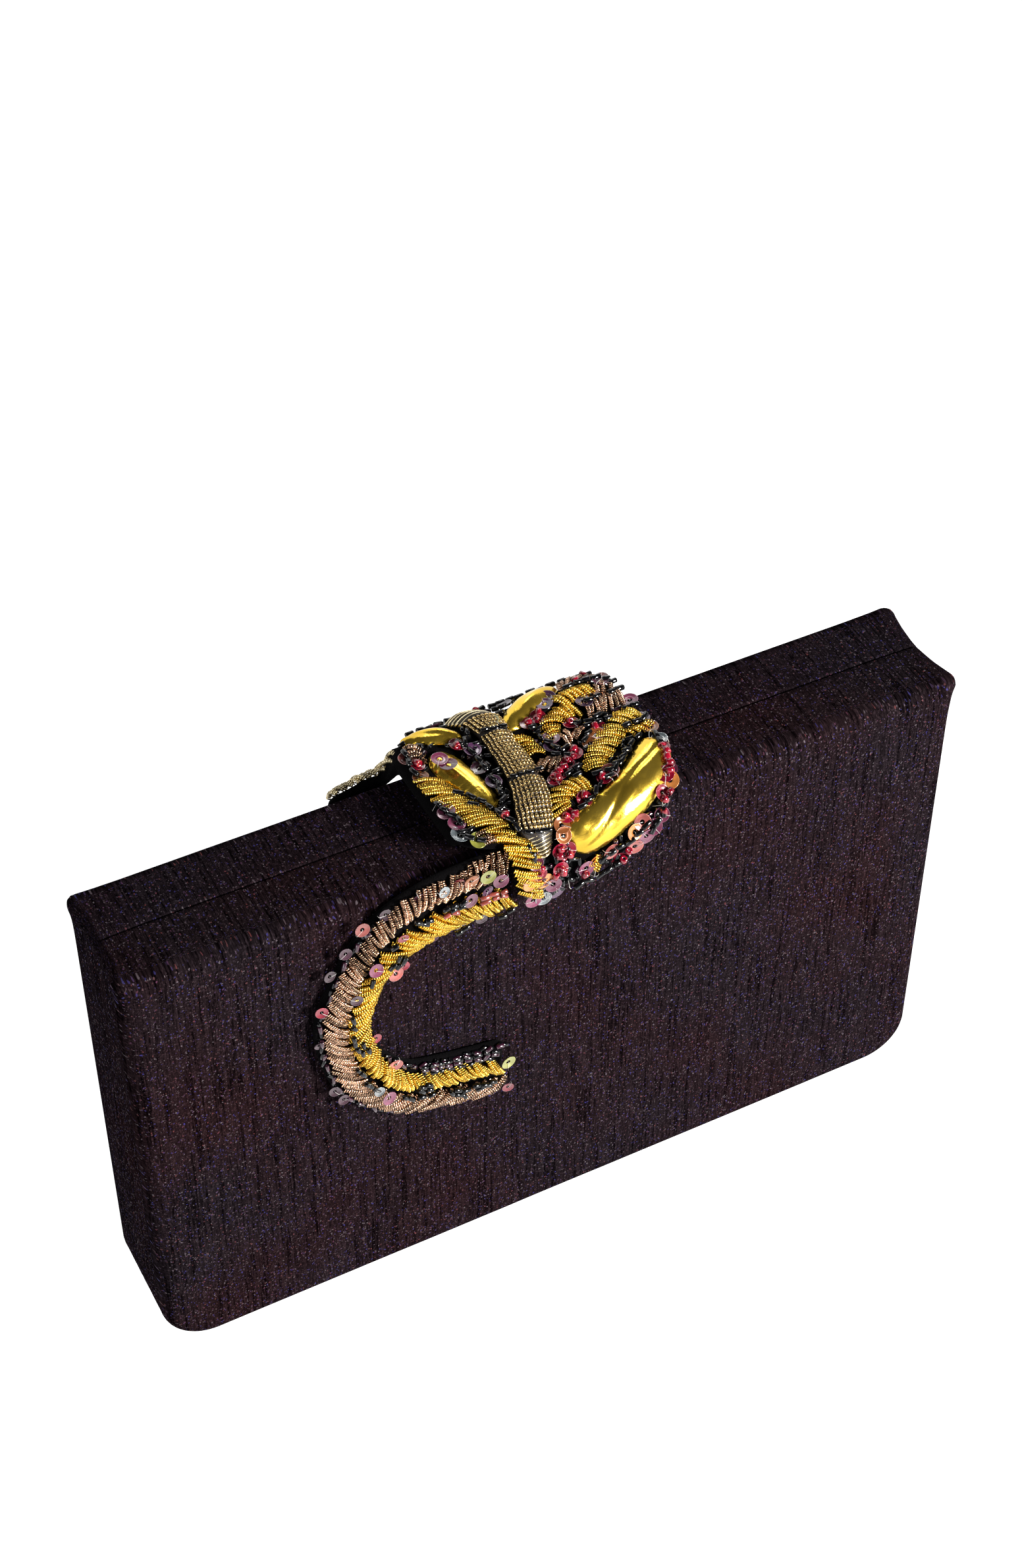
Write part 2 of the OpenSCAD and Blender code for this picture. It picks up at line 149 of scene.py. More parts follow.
def resample(P, step, closed=False):
    P = np.asarray(P, float)
    if closed:
        P = np.vstack([P, P[:1]])
    d = np.r_[0, np.cumsum(np.linalg.norm(np.diff(P, axis=0), axis=1))]
    n = max(2, int(round(d[-1] / step)))
    t = np.linspace(0, d[-1], n + 1)
    Q = np.stack([np.interp(t, d, P[:, k]) for k in range(P.shape[1])], 1)
    return Q[:-1] if closed else Q


def signed_area(P):
    x, y = P[:, 0], P[:, 1]
    return 0.5 * np.sum(x * np.roll(y, -1) - y * np.roll(x, -1))


def seg_dist(Q, P):
    """distance of points Q to the closed outline P, positive inside"""
    A, B = P, np.roll(P, -1, 0)
    d = np.full(len(Q), 1e9)
    inside = np.zeros(len(Q), bool)
    for a, b in zip(A, B):
        ab = b - a
        t = np.clip(((Q - a) @ ab) / max(ab @ ab, 1e-12), 0, 1)
        d = np.minimum(d, np.linalg.norm(Q - (a + t[:, None] * ab), axis=1))
        cond = (a[1] > Q[:, 1]) != (b[1] > Q[:, 1])
        xx = (b[0] - a[0]) * (Q[:, 1] - a[1]) / (b[1] - a[1] + 1e-30) + a[0]
        inside ^= cond & (Q[:, 0] < xx)
    return np.where(inside, d, -d)


def fill2d(P, spacing, rings):
    """triangulates a closed outline, with extra rings of points just inside it. Returns points, triangles, the indices
    of the outline points, and the outline.
    """
    if signed_area(P) < 0:
        P = P[::-1].copy()
    n = len(P)
    T = np.roll(P, -1, 0) - np.roll(P, 1, 0)
    N = np.stack([-T[:, 1], T[:, 0]], 1)
    N /= np.linalg.norm(N, axis=1)[:, None] + 1e-12
    extra = []
    for r in rings:
        Q = P + N * r
        extra.append(Q[np.abs(seg_dist(Q, P) - r) < 0.04 * max(r, 0.5) + 0.01])
    last = max(rings) if len(rings) else 0
    lo, hi = P.min(0), P.max(0)
    xs = np.arange(lo[0] + spacing * 0.5, hi[0], spacing)
    ys = np.arange(lo[1] + spacing * 0.5, hi[1], spacing * 0.866)
    G = np.array([[x + (spacing / 2 if j % 2 else 0), y] for j, y in enumerate(ys) for x in xs])
    if len(G):
        G = G[seg_dist(G, P) > last + spacing * 0.45]
    Q = np.vstack([P] + extra + ([G] if len(G) else []))
    vs, es, fs, ov, oe, of_ = delaunay_2d_cdt([Vector((float(a), float(b))) for a, b in Q], [(i, (i + 1) % n) for i in range(n)], [], 1, 1e-5)
    V = np.array([[v.x, v.y] for v in vs])
    F = [f for f in fs if len(f) == 3]
    # outline vertices come first in the output for an input without repeats
    onb = np.zeros(len(V), bool)
    back = {}
    for i, o in enumerate(ov):
        for k in o:
            back[k] = i
            if k < n:
                onb[i] = True
    loop = [back[k] for k in range(n) if k in back]
    return V, F, loop, P


def noise2(x, y, seed=0.0):
    """smooth value noise, about -1 to 1"""
    def h(i, j):
        v = np.sin(i * 127.1 + j * 311.7 + seed * 74.7) * 43758.5453
        return v - np.floor(v)
    i, j = np.floor(x), np.floor(y)
    fx, fy = x - i, y - j
    fx, fy = fx * fx * (3 - 2 * fx), fy * fy * (3 - 2 * fy)
    a, b, c, d = h(i, j), h(i + 1, j), h(i, j + 1), h(i + 1, j + 1)
    return 2 * ((a * (1 - fx) + b * fx) * (1 - fy) + (c * (1 - fx) + d * fx) * fy) - 1


# ---------------------------------------------------------------- surfaces that the motif lies on
def S_tab(x, s, t):
    """x across, s from the seam over the bend and down the front, t above the underside of the tab"""
    x, s, t = np.broadcast_arrays(np.asarray(x, float), np.asarray(s, float), np.asarray(t, float))
    a = np.clip((s - S0) / RM, 0, math.pi / 2)
    R = R0 + t
    y = np.where(s < S0, -s, YC - R * np.sin(a))
    z = np.where(s < S0, ZT + t, ZC + R * np.cos(a))
    z = np.where(s > S1, ZC - (s - S1), z)
    y = np.where(s > S1, YF - t, y)
    # the back edge hooks a little way down behind the case
    c = np.clip((-SB - s) / RMB, 0, math.pi / 2)
    y = np.where(s < -SB, SB + (RB0 + t) * np.sin(c), y)
    z = np.where(s < -SB, ZT - RB0 + (RB0 + t) * np.cos(c), z)
    # the pad is plumper towards the back edge
    q, p = np.clip((-4.0 - s) / 10, 0, 1), np.clip((30 - x) / 14, 0, 1) * np.clip((x + 27.5) / 3, 0, 1)
    z = z + 1.3 * q * q * (3 - 2 * q) * p * (2 - p) * np.clip(t / 4.6, 0, 1)
    k = np.clip((-x - 24.6) / 2.6, 0, 1) * np.clip((-13.7 - s) / 1.3, 0, 1)
    k = k * k * (3 - 2 * k)
    return np.stack([x, y + 2.4 * k, z - (4.9 + 0.18 * np.clip(-x - 29, 0, 12)) * k], -1)


def N_tab(x, s):
    x, s = np.broadcast_arrays(np.asarray(x, float), np.asarray(s, float))
    a = np.clip((s - S0) / RM, 0, math.pi / 2)
    c = np.clip((-SB - s) / RMB, 0, math.pi / 2)
    return np.stack([0 * x, np.sin(c) - np.sin(a), np.cos(a) * np.cos(c)], -1)


def S_tail(x, s, t):
    x, s, t = np.broadcast_arrays(np.asarray(x, float), np.asarray(s, float), np.asarray(t, float))
    return np.stack([x, YTAIL - t, -s], -1)


def N_tail(x, s):
    x, s = np.broadcast_arrays(np.asarray(x, float), np.asarray(s, float))
    return np.stack([0 * x, 0 * x - 1, 0 * x], -1)


# ---------------------------------------------------------------- materials
def new_mat(name):
    m = bpy.data.materials.new(name)
    m.use_nodes = True
    nt = m.node_tree
    nt.nodes.clear()
    out = nt.nodes.new("ShaderNodeOutputMaterial")
    b = nt.nodes.new("ShaderNodeBsdfPrincipled")
    nt.links.new(b.outputs[0], out.inputs[0])
    return m, nt, b


def node(nt, kind, **kw):
    n = nt.nodes.new(kind)
    for k, v in kw.items():
        if k.startswith("in_"):
            key = k[3:]
            n.inputs[int(key) if key.isdigit() else key].default_value = v
        else:
            setattr(n, k, v)
    return n


def math_node(nt, op, a, b=None, c=None, clamp=False):
    n = nt.nodes.new("ShaderNodeMath")
    n.operation = op
    n.use_clamp = clamp
    for i, v in enumerate((a, b, c)):
        if v is None:
            continue
        if isinstance(v, (int, float)):
            n.inputs[i].default_value = v
        else:
            nt.links.new(v, n.inputs[i])
    return n.outputs[0]


def ramp(nt, fac, stops, interp="LINEAR"):
    n = nt.nodes.new("ShaderNodeValToRGB")
    n.color_ramp.interpolation = interp
    els = n.color_ramp.elements
    while len(els) < len(stops):
        els.new(0.5)
    for e, (p, c) in zip(els, stops):
        e.position = p
        e.color = (*c, 1) if len(c) == 3 else c
    nt.links.new(fac, n.inputs[0])
    return n.outputs[0]


def mix_rgb(nt, fac, a, b, mode="MIX"):
    n = nt.nodes.new("ShaderNodeMix")
    n.data_type = "RGBA"
    n.blend_type = mode
    for sock, v in ((n.inputs[0], fac), (n.inputs[6], a), (n.inputs[7], b)):
        if isinstance(v, (int, float)):
            sock.default_value = v
        elif isinstance(v, tuple):
            sock.default_value = (*v, 1)
        else:
            nt.links.new(v, sock)
    return n.outputs[2]


def bump(nt, height, strength, dist, normal=None):
    n = nt.nodes.new("ShaderNodeBump")
    n.inputs["Strength"].default_value = strength
    n.inputs["Distance"].default_value = dist
    nt.links.new(height, n.inputs["Height"])
    if normal is not None:
        nt.links.new(normal, n.inputs["Normal"])
    return n.outputs[0]


def scaled(nt, vec, sx, sy, sz):
    n = nt.nodes.new("ShaderNodeVectorMath")
    n.operation = "MULTIPLY"
    nt.links.new(vec, n.inputs[0])
    n.inputs[1].default_value = (sx, sy, sz)
    return n.outputs[0]


def noise(nt, vec, scale=1.0, detail=2.0, rough=0.5, dist=0.0):
    n = nt.nodes.new("ShaderNodeTexNoise")
    n.inputs["Scale"].default_value = scale
    n.inputs["Detail"].default_value = detail
    n.inputs["Roughness"].default_value = rough
    n.inputs["Distortion"].default_value = dist
    nt.links.new(vec, n.inputs["Vector"])
    return n


def silk(name, dark, light, tint):
    m, nt, b = new_mat(name)
    uv = node(nt, "ShaderNodeUVMap").outputs[0]
    mm = scaled(nt, uv, 100.0, 100.0, 1.0)                       # the map is in units of 100 mm
    slub = noise(nt, scaled(nt, mm, 1.7, 0.05, 1), 1.0, 3.0, 0.62, 0.25).outputs[0]
    slub2 = noise(nt, scaled(nt, mm, 0.75, 0.028, 1), 1.0, 2.0, 0.6, 0.2).outputs[0]
    slub_m = ramp(nt, math_node(nt, "ADD", math_node(nt, "MULTIPLY", slub, 0.6), math_node(nt, "MULTIPLY", slub2, 0.4)), [(0.50, (0, 0, 0)), (0.60, (1, 1, 1))])
    ridge = ramp(nt, slub, [(0.36, (1, 1, 1)), (0.44, (0, 0, 0))])
    fine = noise(nt, scaled(nt, mm, 4.2, 0.26, 1), 1.0, 3.0, 0.65, 0.1).outputs[0]
    weft = noise(nt, scaled(nt, mm, 0.35, 3.4, 1), 1.0, 2.0, 0.6).outputs[0]
    cell = nt.nodes.new("ShaderNodeTexVoronoi")
    cell.inputs["Scale"].default_value = 1.0
    nt.links.new(scaled(nt, mm, 3.6, 3.0, 1), cell.inputs["Vector"])
    sep = nt.nodes.new("ShaderNodeSeparateColor")
    nt.links.new(cell.outputs["Color"], sep.inputs[0])
    rnd, hue = sep.outputs[0], sep.outputs[1]
    patch = noise(nt, scaled(nt, mm, 0.028, 0.022, 1), 1.0, 2.0, 0.5).outputs[0]
    f = math_node(nt, "MULTIPLY", fine, 0.9)
    f = math_node(nt, "ADD", f, math_node(nt, "MULTIPLY", math_node(nt, "POWER", rnd, 3.0), 0.5))
    f = math_node(nt, "ADD", f, math_node(nt, "MULTIPLY", weft, 0.2))
    f = math_node(nt, "ADD", f, math_node(nt, "MULTIPLY", ridge, 0.12))
    f = math_node(nt, "SUBTRACT", f, math_node(nt, "MULTIPLY", slub_m, 0.26), clamp=True)
    base = ramp(nt, f, [(0.30, dark), (0.66, tuple((a + c) / 2.6 for a, c in zip(dark, light))), (1.0, light)])
    base = mix_rgb(nt, ramp(nt, patch, [(0.38, (0, 0, 0)), (0.68, (0.8, 0.8, 0.8))]), base, mix_rgb(nt, 1.0, base, tint, "MULTIPLY"))
    spark = ramp(nt, rnd, [(0.90, (0, 0, 0)), (0.98, (1, 1, 1))])
    hues = ramp(nt, hue, [(0.0, (0.024, 0.022, 0.150)), (0.24, (0.026, 0.026, 0.110)), (0.42, (0.110, 0.026, 0.024)), (0.58, (0.060, 0.046, 0.054)), (0.85, (0.105, 0.090, 0.100)), (1.0, (0.050, 0.020, 0.062))])
    base = mix_rgb(nt, math_node(nt, "MULTIPLY", spark, 0.55), base, hues)
    nt.links.new(base, b.inputs["Base Color"])
    rr = math_node(nt, "ADD", math_node(nt, "MULTIPLY", rnd, -0.28), 0.66)
    nt.links.new(rr, b.inputs["Roughness"])
    nt.links.new(math_node(nt, "MULTIPLY", spark, 0.15), b.inputs["Metallic"])
    b.inputs["Specular IOR Level"].default_value = 0.0
    b.inputs["Sheen Weight"].default_value = 0.0
    b.inputs["Sheen Roughness"].default_value = 0.35
    b.inputs["Sheen Tint"].default_value = (0.55, 0.5, 0.62, 1)
    h = math_node(nt, "ADD", math_node(nt, "MULTIPLY", slub, 0.8), math_node(nt, "MULTIPLY", fine, 0.7))
    h = math_node(nt, "ADD", h, math_node(nt, "MULTIPLY", rnd, 0.40))
    h = math_node(nt, "ADD", h, math_node(nt, "MULTIPLY", weft, 0.25))
    nt.links.new(bump(nt, h, 0.9, 0.00026), b.inputs["Normal"])
    return m


def satin(name, col):
    m, nt, b = new_mat(name)
    tc = node(nt, "ShaderNodeTexCoord").outputs["Object"]
    wr = noise(nt, scaled(nt, tc, 90, 90, 30), 1.0, 3.0, 0.55, 0.8).outputs[0]
    th = noise(nt, scaled(nt, tc, 5200, 5200, 420), 1.0, 1.0, 0.5).outputs[0]
    # painted shade and painted highlight: the lining colour follows the wrinkle noise that also drives the bump,
    # lighter on the wrinkle crests and darker in their hollows
    base = ramp(nt, wr, [(0.3, tuple(c * 0.72 for c in col)), (0.75, tuple(min(1, c * 1.25) for c in col))])
    nt.links.new(base, b.inputs["Base Color"])
    b.inputs["Roughness"].default_value = 0.34
    b.inputs["Anisotropic"].default_value = 0.5
    b.inputs["Sheen Weight"].default_value = 0.25
    b.inputs["Sheen Roughness"].default_value = 0.3
    h = math_node(nt, "ADD", math_node(nt, "MULTIPLY", wr, 1.0), math_node(nt, "MULTIPLY", th, 0.12))
    nt.links.new(bump(nt, h, 0.5, 0.0007), b.inputs["Normal"])
    return m


def velvet(name, col=(0.0016, 0.0014, 0.0016)):
    m, nt, b = new_mat(name)
    tc = node(nt, "ShaderNodeTexCoord").outputs["Object"]
    pile = noise(nt, scaled(nt, tc, 2600, 2600, 2600), 1.0, 2.0, 0.6).outputs[0]
    lay = noise(nt, scaled(nt, tc, 240, 240, 240), 1.0, 2.0, 0.5).outputs[0]
    f = math_node(nt, "ADD", math_node(nt, "MULTIPLY", pile, 0.6), math_node(nt, "MULTIPLY", lay, 0.4))
    nt.links.new(ramp(nt, f, [(0.3, tuple(c * 0.5 for c in col)), (0.8, tuple(c * 1.9 for c in col))]), b.inputs["Base Color"])
    b.inputs["Roughness"].default_value = 0.95
    b.inputs["Specular IOR Level"].default_value = 0.02
    b.inputs["Sheen Weight"].default_value = 0.006
    b.inputs["Sheen Roughness"].default_value = 0.5
    nt.links.new(bump(nt, pile, 0.8, 0.0003), b.inputs["Normal"])
    return m


def metal(name, col, rough, var=0.25, vscale=700.0, dark=0.55, bumpy=0.0, island=0.0, spec=None):
    m, nt, b = new_mat(name)
    tc = node(nt, "ShaderNodeTexCoord").outputs["Object"]
    n1 = noise(nt, tc, vscale, 2.0, 0.6).outputs[0]
    n2 = noise(nt, tc, vscale * 5, 2.0, 0.5).outputs[0]
    c = ramp(nt, n1, [(0.3, tuple(c * dark for c in col)), (0.5, col), (0.75, tuple(min(1.0, c * (1 + var)) for c in col))])
    if island:
        rpi = node(nt, "ShaderNodeNewGeometry").outputs["Random Per Island"]
        k = ramp(nt, rpi, [(0.0, (1 - island,) * 3), (0.6, (1, 1, 1)), (1.0, (1 + island * 0.2,) * 3)])
        c = mix_rgb(nt, 1.0, c, k, "MULTIPLY")
    nt.links.new(c, b.inputs["Base Color"])
    b.inputs["Metallic"].default_value = 1.0
    nt.links.new(math_node(nt, "ADD", math_node(nt, "MULTIPLY", n2, 0.25), rough - 0.1), b.inputs["Roughness"])
    if bumpy:
        nt.links.new(bump(nt, n2, bumpy, 0.0002), b.inputs["Normal"])
    return m


def gold_leather(name):
    m, nt, b = new_mat(name)
    tc = node(nt, "ShaderNodeTexCoord").outputs["Object"]
    cr = noise(nt, scaled(nt, tc, 260, 260, 260), 1.0, 4.0, 0.6, 1.2).outputs[0]
    gr = nt.nodes.new("ShaderNodeTexVoronoi")
    gr.feature = "DISTANCE_TO_EDGE"
    nt.links.new(scaled(nt, tc, 1500, 1500, 1500), gr.inputs["Vector"])
    gr.inputs["Scale"].default_value = 1.0
    lowf = noise(nt, scaled(nt, tc, 110, 110, 110), 1.0, 2.0, 0.5).outputs[0]
    nt.links.new(ramp(nt, lowf, [(0.3, (0.58, 0.365, 0.036)), (0.55, (0.83, 0.545, 0.060)), (0.8, (0.94, 0.64, 0.095))]), b.inputs["Base Color"])
    b.inputs["Metallic"].default_value = 0.96
    nt.links.new(math_node(nt, "ADD", math_node(nt, "MULTIPLY", cr, 0.20), 0.10), b.inputs["Roughness"])
    b.inputs["Coat Weight"].default_value = 0.06
    b.inputs["Coat Roughness"].default_value = 0.12
    h = math_node(nt, "ADD", math_node(nt, "MULTIPLY", cr, 1.0), math_node(nt, "MULTIPLY", gr.outputs[0], 0.12))
    nt.links.new(bump(nt, h, 0.16, 0.0005), b.inputs["Normal"])
    return m


def gloss(name, col, rough=0.12, trans=0.0, alpha=1.0, coat=0.6, metallic=0.0, var=0.5):
    m, nt, b = new_mat(name)
    tc = node(nt, "ShaderNodeTexCoord").outputs["Object"]
    n1 = noise(nt, tc, 420.0, 2.0, 0.5).outputs[0]
    c = ramp(nt, n1, [(0.3, tuple(c * (1 - var * 0.5) for c in col)), (0.7, tuple(min(1, c * (1 + var)) for c in col))])
    rpi = node(nt, "ShaderNodeNewGeometry").outputs["Random Per Island"]
    c = mix_rgb(nt, 1.0, c, ramp(nt, rpi, [(0.0, (0.62, 0.62, 0.62)), (1.0, (1.15, 1.15, 1.15))]), "MULTIPLY")
    nt.links.new(c, b.inputs["Base Color"])
    n2 = noise(nt, tc, 2400.0, 2.0, 0.5).outputs[0]
    nt.links.new(math_node(nt, "ADD", math_node(nt, "MULTIPLY", n2, 0.12), max(0.0, rough - 0.05)), b.inputs["Roughness"])
    b.inputs["Transmission Weight"].default_value = trans
    b.inputs["Coat Weight"].default_value = coat
    b.inputs["Coat Roughness"].default_value = 0.05
    b.inputs["Specular IOR Level"].default_value = 0.5 if coat > 0.3 else 0.3
    b.inputs["Metallic"].default_value = metallic
    b.inputs["Alpha"].default_value = alpha
    return m


M = {
    "silk_front": silk("silk_front", (0.0008, 0.0005, 0.0007), (0.0158, 0.0112, 0.0138), (1.32, 0.84, 0.76)),
    "silk_back": silk("silk_back", (0.0008, 0.0006, 0.0008), (0.0150, 0.0110, 0.0142), (1.2, 0.86, 0.84)),
    "lining": satin("satin_lining", (0.040, 0.007, 0.016)),
    "velvet": velvet("velvet"),
    "gold": metal("gold_purl", (1.0, 0.61, 0.085), 0.22, 0.25, 1500.0, 0.50, island=0.38),
    "bronze": metal("bronze_purl", (0.60, 0.375, 0.245), 0.17, 0.6, 1300.0, 0.20, island=0.66),
    "ivory": metal("ivory_purl", (0.74, 0.62, 0.38), 0.24, 0.4, 600.0, 0.4, island=0.5),
    "wire": metal("bronze_wire", (0.62, 0.44, 0.19), 0.25, 0.4, 900.0, 0.5, island=0.35),
    "leather": gold_leather("gold_leather"),
    "brass": metal("hinge_brass", (0.72, 0.55, 0.26), 0.32, 0.12, 60.0, 0.85, 0.15),
    "steel": metal("steel", (0.58, 0.58, 0.6), 0.3, 0.12, 60.0, 0.85, 0.15),
    "black_bead": gloss("black_bead", (0.0016, 0.0016, 0.0020), 0.07, 0.0, 1.0, 0.15),
    "plum_bead": gloss("plum_bead", (0.022, 0.005, 0.012), 0.10, 0.1),
    "crimson": gloss("crimson_bead", (0.17, 0.002, 0.011), 0.07, 0.15),
    "brick_bead": gloss("brick_bead", (0.15, 0.028, 0.020), 0.12, 0.1),
    "seq_mauve": gloss("sequin_mauve", (0.105, 0.018, 0.045), 0.20, 0.1, 0.94, 0.22, 0.15),
    "seq_violet": gloss("sequin_violet", (0.046, 0.015, 0.044), 0.20, 0.1, 0.92, 0.22, 0.2),
    "seq_crimson": gloss("sequin_crimson", (0.14, 0.002, 0.012), 0.20, 0.1, 0.96, 0.22, 0.1),
    "seq_copper": gloss("sequin_copper", (0.20, 0.062, 0.018), 0.20, 0.1, 0.94, 0.22, 0.25),
    "seq_peach": gloss("sequin_peach", (0.44, 0.16, 0.04), 0.20, 0.1, 0.94, 0.22, 0.3),
    "seq_rose": gloss("sequin_rose", (0.21, 0.050, 0.042), 0.20, 0.1, 0.94, 0.22, 0.2),
    "seq_green": gloss("sequin_green", (0.17, 0.17, 0.03), 0.20, 0.15, 0.92, 0.22, 0.25),
    "seq_plum": gloss("sequin_plum", (0.026, 0.006, 0.014), 0.20, 0.1, 0.96, 0.22, 0.2),
    "seq_clear": gloss("sequin_clear", (0.10, 0.12, 0.13), 0.12, 0.3, 0.80, 0.7, 0.1),
    "thread": gloss("thread", (0.55, 0.53, 0.50), 0.3, 0.4, 0.7, 0.3),
    "dark_thread": gloss("dark_thread", (0.02, 0.014, 0.012), 0.5, 0.0, 1.0, 0.1),
    "board": metal("fibreboard", (0.2, 0.15, 0.1), 0.9),
}
_b = M["board"].node_tree.nodes["Principled BSDF"]
_b.inputs["Metallic"].default_value = 0.0

# ---------------------------------------------------------------- silk half cases
RB, RT = 12.5, 2.6


def case_outline(off, step=1.4):
    """elevation outline drawn in by off, anticlockwise from the bottom left"""
    hw, lo, hi = HW - off, off, HT - off
    rb, rt = max(RB - off, 1.0), max(RT - off, 0.8)
    P = []
    def arc(cx, cz, r, a0, a1):
        n = max(4, int(r * math.radians(abs(a1 - a0)) / (step * 0.45)))
        for k in range(n + 1):
            a = math.radians(a0 + (a1 - a0) * k / n)
            P.append((cx + r * math.cos(a), cz + r * math.sin(a)))
    def line(x0, z0, x1, z1):
        n = int(math.hypot(x1 - x0, z1 - z0) / step)
        for k in range(1, n):
            P.append((x0 + (x1 - x0) * k / n, z0 + (z1 - z0) * k / n))
    line(-hw + rb, lo, hw - rb, lo)
    arc(hw - rb, lo + rb, rb, -90, 0)
    line(hw, lo + rb, hw, hi - rt)
    arc(hw - rt, hi - rt, rt, 0, 90)
    line(hw - rt, hi, -hw + rt, hi)
    arc(-hw + rt, hi - rt, rt, 90, 180)
    line(-hw, hi - rt, -hw, lo + rb)
    arc(-hw + rb, lo + rb, rb, 180, 270)
    return np.array(P)


def need_y(z):
    """how far from the seam a point at height z stays, for the seam gap, hinge barrel and groove"""
    z = np.asarray(z, float)
    n = np.full(z.shape, 0.15)
    n = np.maximum(n, np.where(z < PIN_Z, (PIN_Z - z) * math.tan(math.radians(45.5)) + 0.1, 0))
    return np.maximum(n, np.sqrt(np.maximum(0, 2.1 ** 2 - (z - PIN_Z) ** 2)))


def half_shell(name, side, off, mat, body, thick, outer=True, y_seam=0.15, edge=(4.6, 3.6, 5.0), puff=0.0, sd=0.0, roll=True, pleat=0.3):
    P = case_outline(off)
    rs, rt_, rb_ = (max(r - off, 1.0) for r in edge)
    rings = [rs * (1 - math.cos(math.radians(a))) for a in (12, 22, 32, 42, 52, 62, 72, 82)]
    V2, F2, loop, P = fill2d(P, 3.0, rings + [rs + 1.0])
    d = np.maximum(seg_dist(V2, P), 0)
    d[loop] = 0
    x, z = V2[:, 0], V2[:, 1]
    hw, lo, hi = HW - off, off, HT - off
    w = np.stack([np.exp(-np.maximum(hw - np.abs(x), 0) / 3), np.exp(-np.maximum(hi - z, 0) / 3), np.exp(-np.maximum(z - lo, 0) / 3)], 1) + 1e-9
    re = (w * np.array([rs, rt_, rb_])).sum(1) / w.sum(1)
    q = np.clip(re - d, 0, None)
    drop = re - np.sqrt(np.maximum(re ** 2 - q ** 2, 0))
    depth = HD - off - drop
    if puff:
        depth = depth + puff * (0.55 * noise2(x / 17 + 5, z / 17, sd) + 0.3 * noise2(x / 7, z / 7, sd + 2)) * np.clip(d / 10, 0, 1)
        depth = np.minimum(depth, HD - off + 0.25)
    V = [np.stack([x, side * depth, z], 1)]
    uv3 = [np.stack([x, z], 1)]
    F = [tuple(f) for f in F2]
    n = len(loop)
    T = np.roll(V2[loop], -1, 0) - np.roll(V2[loop], 1, 0)
    N = np.stack([T[:, 1], -T[:, 0]], 1)
    N /= np.linalg.norm(N, axis=1)[:, None]
    C = V2[loop]
    rim = depth[loop]
    arc_u = np.r_[0, np.cumsum(np.linalg.norm(np.diff(C, axis=0), axis=1))]
    corner = np.exp(-np.minimum(np.abs(np.abs(C[:, 0]) - HW + 2) + np.abs(C[:, 1] - HT + 2), 60) / 5.5) + \
        0.8 * np.exp(-np.minimum(np.abs(np.abs(C[:, 0]) - HW + 5) + np.abs(C[:, 1] - 5), 60) / 9)
    levels = [(0.12, 0), (0.26, 0), (0.42, 0), (0.58, 0), (0.74, 0), (0.88, 0)]
    tail = [(1.0, 0.0)]
    if roll:
        levels += [(0.955, 0.0), (0.985, 0.12)]
        tail = [(1.0, 0.38), (1.0, 0.9), (0.99, 1.7), (0.97, 2.6), (0.93, 3.25), (0.80, 3.4), (0.62, 3.42)]
    idx = list(loop)
    cnt = len(x)
    for f, ins in levels + tail:
        y = rim + (y_seam - rim) * f
        p = C - N * ins
        if outer and pleat:
            a = pleat * corner * (0.25 + 0.75 * f) * np.sin(arc_u * 2 * math.pi / 2.9 + 0.7 * np.sin(f * 5)) * (1 if ins < 0.5 else 0)
            p = p + N * (a - 0.15 * corner * (ins < 0.5))[:, None]
        y = np.maximum(y, need_y(p[:, 1]))
        V.append(np.stack([p[:, 0], side * y, p[:, 1]], 1))
        wrap = (HD - off - y)
        uv3.append(np.stack([C[:, 0] + N[:, 0] * wrap, C[:, 1] + N[:, 1] * wrap], 1))
        new = list(range(cnt, cnt + n))
        cnt += n
        for k in range(n):
            j = (k + 1) % n
            F.append((idx[k], idx[j], new[j], new[k]))
        idx = new
    V, U = np.vstack(V), np.vstack(uv3)
    if outer and pleat:
        # the silk bunches up at the two top corners, and draws in towards the seam
        for sx in (-1, 1):
            dc = np.hypot(V[:, 0] - sx * HW, V[:, 2] - HT)
            fy = np.clip((np.abs(V[:, 1]) / HD - 0.35) / 0.5, 0, 1)
            fy = fy * fy * (3 - 2 * fy)
            g = np.exp(-(dc / 3.4) ** 2) * fy
            V[:, 0] += sx * 0.95 * g
            V[:, 2] += 0.55 * g
            V[:, 1] += side * 0.45 * g
            k = np.exp(-(dc / 9.0) ** 2) * (1 - np.clip(np.abs(V[:, 1]) / HD / 0.7, 0, 1)) ** 1.5 * (np.abs(V[:, 1]) < HD)
            V[:, 0] -= sx * 0.55 * k
            V[:, 2] -= 0.3 * k
            # short folds that fan out from the corner over the face
            th = np.arctan2(HT - V[:, 2], sx * (HW - V[:, 0] * sx) + 1e-6)
            V[:, 1] += side * 0.28 * np.sin(th * 9 + sx) * np.exp(-((dc - 5) / 4.0) ** 2) * (np.abs(V[:, 1]) > HD - 5)
    luv = []
    for f in F:
        luv.extend(U[i] / 100.0 for i in f)
    o = mesh_obj(name, V, F, mat, uv=np.array(luv))
    fix_normals(o)
    # outward is away from the middle of the case
    me = o.data
    big = max(me.polygons, key=lambda p: abs(p.normal[1]) * p.area)
    if (big.normal[1] * side > 0) != outer:
        me.flip_normals()
    mod = o.modifiers.new("thickness", "SOLIDIFY")
    mod.thickness = thick * 1e-3
    mod.offset = -1
    apply_mods(o)
    o.data.polygons.foreach_set("use_smooth", np.ones(len(o.data.polygons), dtype=bool))
    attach(o, body)
    return o


